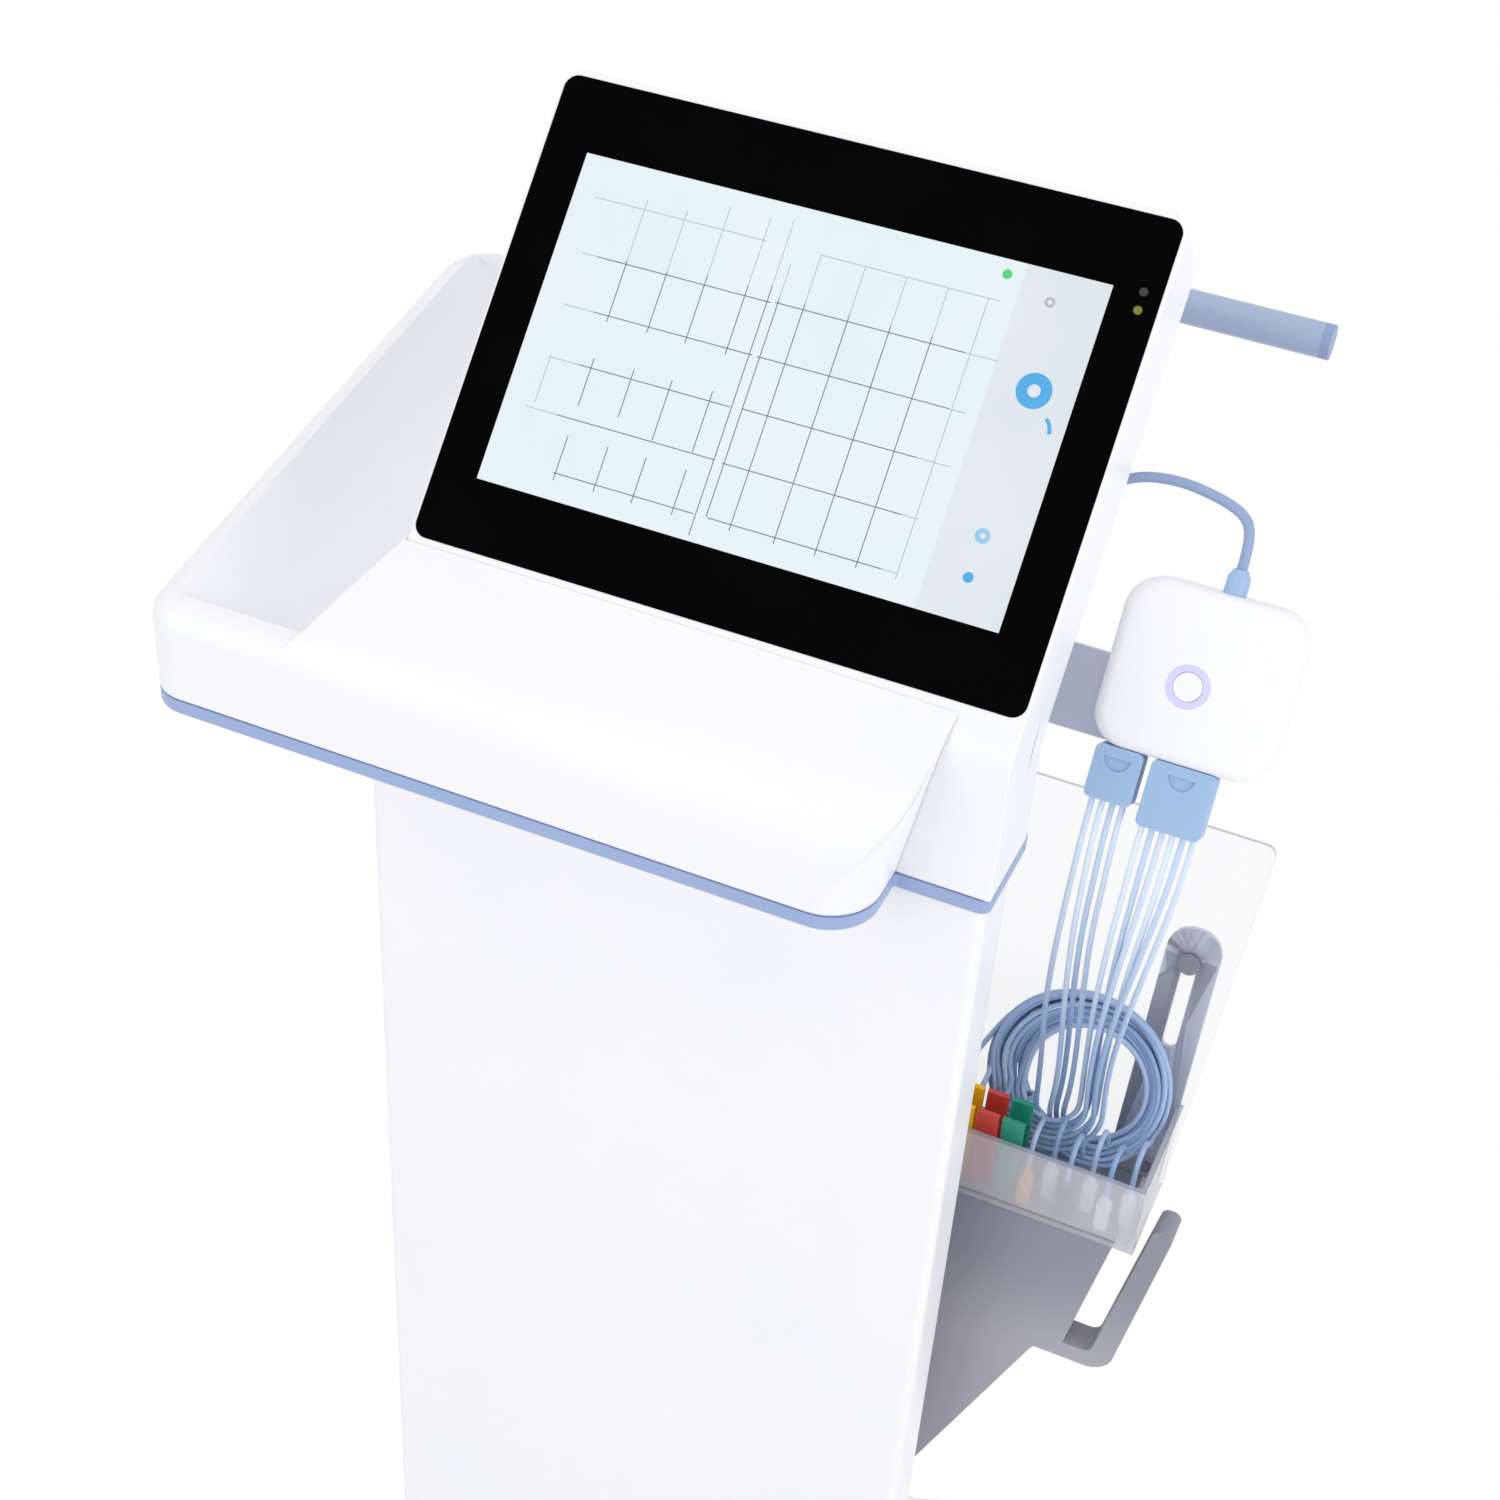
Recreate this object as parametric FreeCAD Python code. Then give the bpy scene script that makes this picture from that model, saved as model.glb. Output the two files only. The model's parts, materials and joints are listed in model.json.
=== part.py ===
import FreeCAD, Part
import math
import os

# An ECG machine on a trolley. Millimetres and degrees.
# X is to the right, Y to the back and Z up, from the floor below the middle of the base.

# Castors
wheel_diameter = 75.0
wheel_width = 22.0
hub_diameter = 46.0
tyre_edge = 4.0
axle_diameter = 8.0
castor_trail = 24.0
castor_x = 262.0
castor_y = 144.0
fork_plate = 4.0
fork_side_gap = 2.0
crown_radius = 22.0
crown_thickness = 6.0
crown_above_wheel = 12.0
swivel_gap = 1.0
stem_diameter = 12.0
stem_length = 17.0
running_clearance = 0.05
pedal_thickness = 6.0
pedal_pin_diameter = 5.0
pedal_pin_above_wheel = 4.0
pedal_pin_trail = 38.0
shoe_gap = 0.5
pedal_short_of_tread = 1.0

# Base
leg_height = 24.0
leg_end_radius = 30.0
leg_root_width = 130.0
leg_edge = 8.0
leg_wall = 5.0
stem_boss_wall = 6.0
hub_margin = 14.0
base_cover_height = 24.0
base_cover_edge = 3.0
cover_fit = 0.5
post_gap = 2.5

# Column
column_width = 328.0
column_front = -125.0
column_cover_depth = 30.0
column_cover_wall = 3.0
column_cover_corner = 5.0
carrier_thickness = 3.0
post_width = 230.0
post_depth = 187.0
post_wall = 4.0
post_corner = 12.0
cover_seam = 2.0
rear_cover_width = 206.0
rear_cover_thickness = 7.0
rear_cover_end_gap = 20.0
vent_count = 8
vent_width = 90.0
vent_height = 5.0
vent_pitch = 13.0
vent_drop = 120.0

# Inside the column
supply_size = (150.0, 90.0, 200.0)
supply_height = 290.0
battery_size = (150.0, 80.0, 180.0)
battery_height = 540.0

# Mains inlet and its rocker switch
inlet_width = 74.0
inlet_height = 30.0
inlet_depth = 26.0
inlet_flange = 4.0
inlet_flange_thickness = 2.0
inlet_above_leg = 70.0
socket_width = 24.0
socket_height = 17.0
socket_depth = 16.0
rocker_width = 20.0
rocker_height = 14.0
rocker_depth = 8.0
rocker_gap = 0.5
rocker_tilt = 8.0
inlet_item_offset = 17.0

# Trim and shelf
trim_bottom = 901.5
trim_height = 7.5
trim_width = 4.0
trim_seam = 1.2
trim_tongue_inset = 1.5
trim_corner_step = 1.0
pan_thickness = 4.0
shelf_left = -262.0
shelf_right = 119.0
shelf_overhang = 47.0
shelf_behind_post = 60.0
shelf_front_height = 51.0
shelf_slope = 9.2
shelf_wall = 3.0
shelf_corner_front_left = 20.0
shelf_corner_front_right = 26.0
shelf_corner_back = 28.0
shelf_edge = 14.0
dish_rim = 14.0
dish_depth = 30.0
dish_wall_run = 70.0
ramp_slope = 37.5
ramp_nose = 18.0
ramp_right_nose_height = 43.0
ramp_right_foot = 2.7
ramp_overrun = 10.0
ramp_flare = 40.0
ramp_right_lean = 10.5
ramp_below_glass = 1.0

# Head with the screen
screen_lean = 42.5
screen_centre = 11.0
glass_width = 306.0
glass_height = 232.5
glass_thickness = 3.4
glass_proud = 0.4
glass_corner = 7.0
glass_fit = 0.2
glass_side_margin = 1.6
glass_top_margin = 3.5
chin = 20.8
bend_height = 79.4
bend_radius = 25.0
head_overhang = 2.0
head_depth = 58.0
head_split = 33.0
head_wall = 3.0
head_corner = 9.0
head_front_edge = 2.4
head_rear_edge = 8.0
head_fit = 0.5
panel_side_margin = 15.0
panel_border = 7.4
panel_thickness = 7.0
picture_height = 163.2
picture_rise = 34.0
board_size = (230.0, 140.0)
board_thickness = 1.6
board_stand = 6.0
board_stand_inset = 8.0
board_stand_radius = 3.0
status_light_radius = 2.0
status_light_height = 0.3
status_light_from_edge = 8.5
status_light_heights = (189.0, 197.6)

# Push handle
handle_length = 420.0
handle_diameter = 18.0
handle_behind_shelf = 17.0
handle_above_foot = 70.0
handle_cap = 5.0
bracket_spacing = 160.0
bracket_width = 16.0
bracket_eye_radius = 15.0
bracket_foot_rise = 21.8
bracket_foot_height = 68.0

# Acquisition module, in its own leaning frame
module_lean = 30.0
module_x = 222.5
module_y = -50.0
module_above_trim = 63.5
module_width = 86.0
module_height = 82.0
module_bottom = -6.0
module_depth = 24.0
module_split = 13.0
module_corner = 17.0
module_edge = 6.0
module_wall = 2.5
ring_across = -3.5
ring_up = 30.5
ring_diameter = 21.0
ring_depth = 3.0
button_diameter = 13.6
button_gap = 0.3
button_depth = 6.0
button_travel = 1.2
switch_radius = 3.0
module_board_thickness = 1.6
cradle_inset = 5.0
cradle_thickness = 7.0
arm_bottom = -7.0
arm_top = 33.0

# Lead plugs below the module
plug_thickness = 14.0
plug_back = 17.0
plug_corner = 3.0
limb_plug_across = -25.5
limb_plug_width = 23.0
limb_plug_length = 26.0
chest_plug_across = 5.5
chest_plug_width = 31.0
chest_plug_length = 32.0
thumb_radius = 6.5
thumb_depth = 1.2
thumb_drop = 5.0

# Module cable
cable_diameter = 5.0
cable_plug_across = 3.5
cable_plug_back = 12.0
cable_plug_radius = 5.5
cable_plug_length = 8.0
cable_relief_length = 4.0
cable_relief_radius = 3.4
cable_socket_length = 20.0
cable_socket_width = 16.0
cable_socket_depth = 18.0

# Clear board and tray for the leads
board_lean = 20.0
tray_left_gap = 3.0
tray_right = 255.5
tray_front = -60.0
tray_below_trim = 260.5
tray_depth = 54.0
tray_wall_height = 49.0
clear_wall = 3.0
lead_board_thickness = 4.0
lead_board_height = 208.0
lead_board_flare = 10.5
lead_board_corner = 6.0
support_width = 30.0
support_thickness = 4.0
support_height = 150.0
support_from_edge = 17.5
support_slot_width = 8.0
support_slot_bottom = 80.0
support_slot_top = 136.0
knob_radius = 6.0
knob_height = 3.0
shank_clearance = 0.2
screw_radius = 3.0
screw_height = 1.8
board_screw_rise = 10.0

# Side bracket with the cord hook
bracket_front = -55.0
bracket_back = 8.0
bracket_shell = 4.0
bracket_drop = 339.0
hook_reach = 129.0
hook_drop = 92.0
hook_gap = 16.0
hook_width = 18.0
hook_lip_thickness = 11.0
hook_lip_rise = 20.0
hook_lip_lean = 10.0
hook_seat_thickness = 12.0

# Patient leads
lead_diameter = 3.0
coil_x = 201.0
coil_y = 0.0
coil_above_tray = 55.5
coil_outer_radius = 50.0
coil_pitch = 3.9
coil_layers = 4
coil_turns_per_layer = 4
limb_lead_count = 4
chest_lead_count = 6
clip_width = 8.0
clip_thickness = 6.0
clip_height = 19.0
clip_corner = 2.0
clip_neck_radius = 2.2
clip_neck_height = 6.0
clip_first = 190.0
clip_pitch = 11.0
clip_rows = (-50.0, -41.0)

# Limb clamps
clamp_colours = ("black", "yellow", "red", "green")
clamp_first = 137.0
clamp_pitch = 14.0
clamp_width = 12.0
clamp_height = 58.0
clamp_plate = 3.0
clamp_floor_gap = 0.5
clamp_mouth_gap = 2.0
clamp_handle_gap = 13.0
clamp_middle = -45.5
clamp_pin_diameter = 3.0
clamp_pin_rise = 26.0
clamp_ear = 2.4
clamp_tongue_gap = 0.3
clamp_boot_radius = 2.6
clamp_boot_length = 10.0
clamp_boot_rise = 40.0

# Routes chosen by hand, as the outermost two leads of each bundle run them, with heights from the trim
limb_left_route = [
    (189.5, -57.3, 30.8),
    (189.5, -64.3, 18.7),
    (189.0, -67.0, -4.5),
    (187.0, -63.0, -48.5),
    (185.0, -52.0, -94.5),
    (183.5, -36.5, -139.5),
    (183.0, -24.0, -173.5),
    (183.0, -18.8, -201.5),
    (183.0, -18.2, -221.5),
    (192.4, -22.1, -235.8),
    (208.3, -24.0, -243.0),
    (225.6, -22.9, -241.0),
    (232.3, -20.0, -236.0),
]
limb_right_route = [
    (204.5, -57.3, 30.8),
    (204.5, -64.3, 18.7),
    (203.5, -66.5, -4.5),
    (200.0, -62.5, -48.5),
    (197.0, -51.5, -94.5),
    (194.5, -36.0, -139.5),
    (193.3, -23.5, -173.5),
    (193.0, -18.0, -199.5),
    (193.0, -17.2, -218.7),
    (199.3, -19.4, -228.4),
    (209.8, -20.5, -233.3),
    (221.4, -19.6, -231.9),
    (225.9, -17.4, -228.8),
]
chest_left_route = [
    (215.5, -60.3, 25.6),
    (215.5, -67.3, 13.5),
    (214.5, -70.0, -9.5),
    (211.5, -67.0, -51.5),
    (208.5, -57.0, -95.5),
    (206.3, -42.0, -137.5),
    (205.2, -30.0, -174.5),
    (205.0, -24.0, -193.5),
    (205.0, -22.2, -207.6),
    (199.8, -24.1, -215.7),
    (191.0, -24.6, -220.1),
    (181.2, -22.4, -219.8),
    (173.5, -16.6, -215.6),
    (171.8, -11.6, -212.4),
]
chest_right_route = [
    (240.5, -60.3, 25.6),
    (240.5, -67.3, 13.5),
    (239.0, -70.0, -9.5),
    (234.0, -66.5, -51.5),
    (229.0, -56.5, -95.5),
    (224.5, -42.0, -137.5),
    (222.0, -30.5, -171.5),
    (221.6, -25.0, -193.5),
    (221.5, -23.8, -212.0),
    (211.3, -28.5, -227.7),
    (194.0, -30.4, -236.0),
    (174.8, -27.9, -234.8),
    (159.6, -20.1, -225.1),
    (156.3, -13.6, -217.7),
]
cable_route = [
    (226.0, 4.4, 133.7),
    (226.0, 11.4, 145.8),
    (218.7, 19.1, 156.2),
    (206.0, 25.5, 163.0),
    (185.0, 30.0, 164.5),
    (163.0, 29.0, 158.5),
    (145.0, 13.0, 142.5),
    (118.0, 13.0, 142.5),
]

V = FreeCAD.Vector
ACROSS = V(1, 0, 0)
UP = V(0, 0, 1)
QUARTER = 90.0
HALF_TURN = 180.0
TALL = 2000.0
tolerance = 0.01

# What follows from the driving sizes
leg_bottom = wheel_diameter + crown_above_wheel + crown_thickness + swivel_gap
leg_top = leg_bottom + leg_height
column_half = column_width / 2
cover_back = column_front + column_cover_depth
post_front = cover_back + carrier_thickness
post_back = post_front + post_depth
post_half = post_width / 2
column_bottom = leg_top
cover_top = trim_bottom - cover_seam
shell_bottom = trim_bottom + trim_height + trim_seam
shelf_front = column_front - shelf_overhang
shelf_back = post_back + shelf_behind_post
shelf_rise = math.tan(math.radians(shelf_slope))
head_front = column_front - head_overhang
head_back = head_front + head_depth
head_left = screen_centre - glass_width / 2 - glass_side_margin
head_right = screen_centre + glass_width / 2 + glass_side_margin
bend_z = shell_bottom + bend_height
screen_length = chin + glass_height + glass_top_margin
panel_width = glass_width - 2 * panel_side_margin
panel_height = picture_height + 2 * panel_border
handle_y = shelf_back + handle_behind_shelf
bracket_foot_bottom = shell_bottom + bracket_foot_rise
bracket_foot_top = bracket_foot_bottom + bracket_foot_height
handle_height = bracket_foot_top + handle_above_foot
module_z = trim_bottom + module_above_trim
tray_bottom = trim_bottom - tray_below_trim
coil_z = tray_bottom + coil_above_tray
tray_left = post_half + tray_left_gap
tray_back = tray_front + tray_depth
coil_layer_radius = coil_pitch * coil_turns_per_layer


class Lean:
    """A flat frame that leans back about a line along X: across, up the slope and out of its front."""

    def __init__(self, origin, lean):
        angle = math.radians(lean)
        self.origin = V(*origin)
        self.up = V(0, math.sin(angle), math.cos(angle))
        self.out = V(0, -math.cos(angle), math.sin(angle))

    def at(self, across, up, out=0.0):
        return self.origin + ACROSS * across + self.up * up + self.out * out

    def slab(self, points, radii, back, front):
        """A plate with the outline given as (across, up), from back to front along the frame's front."""
        corners = [self.at(u, v, back) for u, v in points]
        return prism(corners, radii, self.out * (front - back))

    def plate(self, across, up, out, radius):
        points = rectangle(across, up)
        return self.slab(points, [radius] * len(points), out[0], out[1])

    def rod(self, across, up, back, front, radius):
        return Part.makeCylinder(radius, front - back, self.at(across, up, back), self.out)


def rectangle(first, second):
    return [
        (first[0], second[0]),
        (first[1], second[0]),
        (first[1], second[1]),
        (first[0], second[1]),
    ]


def rounded_wire(corners, radii):
    """A closed wire through the corners, each rounded to its radius."""
    edges = []
    starts = []
    ends = []
    middles = []
    for i, corner in enumerate(corners):
        to_last = (corners[i - 1] - corner).normalize()
        to_next = (corners[(i + 1) % len(corners)] - corner).normalize()
        half = to_last.getAngle(to_next) / 2
        reach = radii[i] / math.tan(half)
        inward = (to_last + to_next).normalize()
        starts.append(corner + to_last * reach)
        ends.append(corner + to_next * reach)
        middles.append(corner + inward * (radii[i] / math.sin(half) - radii[i]))
    for i in range(len(corners)):
        if radii[i] > 0:
            edges.append(Part.Arc(starts[i], middles[i], ends[i]).toShape())
        following = starts[(i + 1) % len(corners)]
        if (following - ends[i]).Length > 1e-6:
            edges.append(Part.LineSegment(ends[i], following).toShape())
    return Part.Wire(edges)


def prism(corners, radii, direction):
    return Part.Face(rounded_wire(corners, radii)).extrude(direction)


def plan_prism(points, radii, z):
    """A piece with the outline given as (x, y), between two heights."""
    return prism([V(x, y, z[0]) for x, y in points], radii, V(0, 0, z[1] - z[0]))


def profile_prism(points, radii, x):
    """A piece with the side outline given as (y, z), between two places along X."""
    return prism([V(x[0], y, z) for y, z in points], radii, V(x[1] - x[0], 0, 0))


def front_prism(points, radii, y):
    """A piece with the front outline given as (x, z), between two places along Y."""
    return prism([V(x, y[0], z) for x, z in points], radii, V(0, y[1] - y[0], 0))


def block(x, y, z):
    return Part.makeBox(x[1] - x[0], y[1] - y[0], z[1] - z[0], V(x[0], y[0], z[0]))


def rounded_block(x, y, z, radius):
    points = rectangle(x, y)
    return plan_prism(points, [radius] * len(points), z)


def cross_rod(x, y, z, radius):
    return Part.makeCylinder(radius, x[1] - x[0], V(x[0], y, z), ACROSS)


def edges_where(shape, test):
    return [edge for edge in shape.Edges if test(edge)]


def middle_of(edge):
    return edge.valueAt((edge.FirstParameter + edge.LastParameter) / 2)


def joined(pieces):
    whole = pieces[0]
    for piece in pieces[1:]:
        whole = whole.fuse(piece)
    return whole.removeSplitter()


def write(name, shape):
    shape.exportStep("parts/" + name + ".step")


# Castors

def castor_parts(has_pedal):
    """One castor with its swivel axis at the origin, trailing towards +Y: fork, wheel and pedal."""
    axle_z = wheel_diameter / 2
    crown_top = leg_bottom - swivel_gap
    crown_bottom = crown_top - crown_thickness
    inner = wheel_width / 2 + fork_side_gap
    outer = inner + fork_plate
    pin_z = wheel_diameter + pedal_pin_above_wheel
    eye = axle_diameter + fork_plate
    ear = pedal_pin_diameter + fork_plate
    plate_outline = [
        (-crown_radius + fork_plate, crown_bottom),
        (crown_radius - fork_plate, crown_bottom),
        (pedal_pin_trail + ear, pin_z + ear),
        (pedal_pin_trail + ear, pin_z - ear),
        (castor_trail + eye, axle_z - eye / 2),
        (castor_trail, axle_z - eye),
        (castor_trail - eye, axle_z - eye / 2),
    ]
    plate_radii = [0.0, 0.0, ear / 2, ear / 2, eye / 2, eye / 2, eye / 2]
    crown = Part.makeCylinder(crown_radius, crown_thickness, V(0, 0, crown_bottom))
    stem = Part.makeCylinder(stem_diameter / 2, stem_length + swivel_gap, V(0, 0, crown_top))
    sides = ((-outer, -inner), (inner, outer))
    plates = [profile_prism(plate_outline, plate_radii, side) for side in sides]
    fork = joined([crown, stem] + plates)
    axle = cross_rod((-outer, outer), castor_trail, axle_z, axle_diameter / 2)
    fork = fork.cut(axle)
    pieces = [fork, axle]
    pedal = None
    if has_pedal:
        pin = cross_rod((-outer, outer), pedal_pin_trail, pin_z, pedal_pin_diameter / 2)
        pieces[0] = fork.cut(pin)
        pieces.append(pin)
        pedal = brake_pedal(axle_z, pin_z, inner)
    bore = axle_diameter / 2 + running_clearance
    across = (-wheel_width / 2, wheel_width / 2)
    hub = cross_rod(across, castor_trail, axle_z, hub_diameter / 2)
    tyre = cross_rod(across, castor_trail, axle_z, wheel_diameter / 2)
    tread = edges_where(tyre, lambda edge: edge.Closed)
    tyre = tyre.makeFillet(tyre_edge, tread).cut(hub)
    hub = hub.cut(cross_rod(across, castor_trail, axle_z, bore))
    return Part.Compound(pieces), Part.Compound([hub, tyre]), pedal


def brake_pedal(axle_z, pin_z, inner):
    """A foot lever on the fork's pin, with its shoe just clear of the tread."""
    half = inner - fork_side_gap / 2
    reach = castor_trail + wheel_diameter / 2 - pedal_short_of_tread
    low = pin_z - pedal_thickness / 2
    high = pin_z + pedal_thickness / 2
    eye = cross_rod((-half, half), pedal_pin_trail, pin_z, pedal_pin_diameter / 2 + fork_plate / 2)
    lever = block((-half, half), (pedal_pin_trail, reach), (low, high))
    shoe_y = (pedal_pin_trail + fork_plate, pedal_pin_trail + 4 * fork_plate)
    shoe = block((-half, half), shoe_y, (axle_z, high))
    wheel_space = cross_rod((-half, half), castor_trail, axle_z, wheel_diameter / 2 + shoe_gap)
    pedal = joined([eye, lever, shoe]).cut(wheel_space)
    pedal = max(pedal.Solids, key=lambda solid: solid.BoundBox.ZMax)
    bore = pedal_pin_diameter / 2 + running_clearance
    return pedal.cut(cross_rod((-half, half), pedal_pin_trail, pin_z, bore))


def make_castors():
    for end, side_y in (("front", -1), ("rear", 1)):
        for side, side_x in (("left", -1), ("right", 1)):
            parts = castor_parts(side_y < 0)
            for name, shape in zip(("castor_fork", "castor_wheel", "brake_pedal"), parts):
                if shape is None:
                    continue
                placed = shape.copy()
                if side_y < 0:
                    placed.rotate(V(0, 0, 0), UP, HALF_TURN)
                placed.translate(V(side_x * castor_x, side_y * castor_y, 0))
                write(name + "_" + end + "_" + side, placed)


# Base

def make_base():
    hub_x = column_half + hub_margin
    hub_y = (column_front - hub_margin, post_back + hub_margin)
    heights = (leg_bottom, leg_top)
    pieces = [rounded_block((-hub_x, hub_x), hub_y, heights, leg_end_radius)]
    for side_x in (-1, 1):
        for side_y in (-1, 1):
            end = V(side_x * castor_x, side_y * castor_y, leg_bottom)
            along = V(end.x, end.y, 0).normalize()
            aside = V(-along.y, along.x, 0)
            root = V(0, 0, leg_bottom)
            corners = [
                root + aside * (leg_root_width / 2),
                end + aside * leg_end_radius,
                end - aside * leg_end_radius,
                root - aside * (leg_root_width / 2),
            ]
            pieces.append(prism(corners, [0.0] * len(corners), V(0, 0, leg_height)))
            pieces.append(Part.makeCylinder(leg_end_radius, leg_height, end))
    frame = joined(pieces)
    underside = min(frame.Faces, key=lambda face: face.CenterOfMass.z)
    space = underside.makeOffset2D(-leg_wall).extrude(V(0, 0, leg_height - leg_wall))
    top_edges = edges_where(frame, lambda edge: edge.BoundBox.ZMin > leg_top - tolerance)
    frame = frame.makeChamfer(leg_edge / 2, top_edges)
    bore = stem_diameter / 2 + running_clearance
    holes = []
    for side_x in (-1, 1):
        for side_y in (-1, 1):
            foot = V(side_x * castor_x, side_y * castor_y, leg_bottom)
            space = space.cut(Part.makeCylinder(bore + stem_boss_wall, leg_height, foot))
            holes.append(Part.makeCylinder(bore, stem_length + swivel_gap, foot))
    frame = frame.cut(space)
    for hole in holes:
        frame = frame.cut(hole)
    write("base_frame", frame)

    cover_x = hub_x - leg_edge
    cover_y = (hub_y[0] + leg_edge, hub_y[1] - leg_edge)
    top = leg_top + base_cover_height
    cover_corner = column_cover_corner + hub_margin - leg_edge
    cover = rounded_block((-cover_x, cover_x), cover_y, (leg_top, top), cover_corner)
    rim = edges_where(cover, lambda edge: edge.BoundBox.ZMin > top - tolerance)
    cover = cover.makeChamfer(base_cover_edge, rim)
    column_x = column_half + cover_fit
    post_x = post_half + post_gap
    through = (leg_top, top)
    front_room = rectangle((-column_x, column_x), (column_front - cover_fit, post_front + cover_fit))
    front_corner = column_cover_corner + cover_fit
    cover = cover.cut(plan_prism(front_room, [front_corner, front_corner, 0.0, 0.0], through))
    cover = cover.cut(block((-post_x, post_x), (post_front, post_back + post_gap), through))
    write("base_cover", cover)


# Column

def make_column():
    heights = (column_bottom, trim_bottom)
    post = rounded_block((-post_half, post_half), (post_front, post_back), heights, post_corner)
    inside = post_half - post_wall
    hollow_y = (post_front + post_wall, post_back - post_wall)
    post = post.cut(rounded_block((-inside, inside), hollow_y, heights, post_corner - post_wall))
    inlet_z = leg_top + inlet_above_leg
    body_x = (-inlet_width / 2, inlet_width / 2)
    body_z = (inlet_z - inlet_height / 2, inlet_z + inlet_height / 2)
    window = block(body_x, (post_back - 2 * post_wall, post_back + 2 * rear_cover_thickness), body_z)
    write("column_post", post.cut(window))

    carrier_z = (leg_top + base_cover_height, cover_top)
    carrier = block((-column_half, column_half), (cover_back, post_front), carrier_z)
    write("cover_carrier", carrier)

    cover_z = (column_bottom, cover_top)
    outline = rectangle((-column_half, column_half), (column_front, cover_back))
    radii = [column_cover_corner, column_cover_corner, 0.0, 0.0]
    shell = plan_prism(outline, radii, cover_z)
    wall = column_cover_wall
    inner_outline = rectangle((-column_half + wall, column_half - wall), (column_front + wall, cover_back))
    inner_radii = [column_cover_corner - wall, column_cover_corner - wall, 0.0, 0.0]
    shell = shell.cut(plan_prism(inner_outline, inner_radii, cover_z))
    write("column_front_cover", shell)

    half = rear_cover_width / 2
    rear_bottom = leg_top + base_cover_height + rear_cover_end_gap
    rear_top = trim_bottom - rear_cover_end_gap
    rear_y = (post_back, post_back + rear_cover_thickness)
    rear_points = rectangle((-half, half), (rear_bottom, rear_top))
    rear = front_prism(rear_points, [post_corner] * len(rear_points), rear_y)
    for i in range(vent_count):
        z = rear_top - vent_drop - i * vent_pitch
        slot_points = rectangle((-vent_width / 2, vent_width / 2), (z, z + vent_height))
        rear = rear.cut(front_prism(slot_points, [vent_height * 0.49] * len(slot_points), rear_y))
    write("column_rear_cover", rear.cut(window))

    back_wall = post_back - post_wall
    for name, size, height in (
        ("power_supply", supply_size, supply_height),
        ("battery_pack", battery_size, battery_height),
    ):
        x = (-size[0] / 2, size[0] / 2)
        write(name, block(x, (back_wall - size[1], back_wall), (height, height + size[2])))

    flange_y = post_back + rear_cover_thickness
    flange_x = (body_x[0] - inlet_flange, body_x[1] + inlet_flange)
    flange_z = (body_z[0] - inlet_flange, body_z[1] + inlet_flange)
    face_y = flange_y + inlet_flange_thickness
    body = block(body_x, (flange_y - inlet_depth, flange_y), body_z)
    inlet = body.fuse(block(flange_x, (flange_y, face_y), flange_z)).removeSplitter()
    socket_x = (-inlet_item_offset - socket_width / 2, -inlet_item_offset + socket_width / 2)
    socket_z = (inlet_z - socket_height / 2, inlet_z + socket_height / 2)
    inlet = inlet.cut(block(socket_x, (face_y - socket_depth, face_y), socket_z))
    rocker_x = (inlet_item_offset - rocker_width / 2, inlet_item_offset + rocker_width / 2)
    pocket_x = (rocker_x[0] - rocker_gap, rocker_x[1] + rocker_gap)
    pocket_z = (inlet_z - rocker_height / 2 - rocker_gap, inlet_z + rocker_height / 2 + rocker_gap)
    inlet = inlet.cut(block(pocket_x, (face_y - rocker_depth - rocker_gap, face_y), pocket_z))
    pin = cross_rod(pocket_x, face_y - rocker_depth / 2, inlet_z, rocker_gap * 2)
    write("power_inlet", Part.Compound([inlet, pin]))

    rocker_y = face_y - rocker_depth / 2
    lift = rocker_height / 2 * math.tan(math.radians(rocker_tilt))
    rocker_outline = [
        (rocker_y - lift, inlet_z - rocker_height / 2 + lift),
        (face_y + lift, inlet_z - rocker_height / 2 + lift),
        (face_y - lift / 2, inlet_z),
        (face_y + lift, inlet_z + rocker_height / 2 - lift),
        (rocker_y - lift, inlet_z + rocker_height / 2 - lift),
    ]
    rocker = profile_prism(rocker_outline, [0.0] * len(rocker_outline), rocker_x)
    rocker = rocker.cut(cross_rod(rocker_x, rocker_y, inlet_z, rocker_gap * 2 + running_clearance))
    rocker.rotate(V(0, rocker_y, inlet_z), ACROSS, rocker_tilt)
    write("power_switch", rocker)


# Head with the screen

screen_angle = math.radians(screen_lean)
screen = Lean((screen_centre, head_front, bend_z), screen_lean)


def head_band(near, far, top_inset):
    """The head's side outline between two depths behind its front, as (y, z)."""

    def chain(depth):
        bend = (head_front + depth, bend_z - depth * math.tan(screen_angle / 2))
        top = screen.at(0, screen_length - top_inset, -depth)
        return [(head_front + depth, shell_bottom), bend, (top.y, top.z)]

    return chain(near) + chain(far)[::-1]


def head_solid(near, far, side_inset, top_inset):
    x = (head_left + side_inset, head_right - side_inset)
    front_radius = bend_radius + near
    radii = [0.0, front_radius, 0.0, 0.0, front_radius, 0.0]
    return profile_prism(head_band(near, far, top_inset), radii, x)


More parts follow.
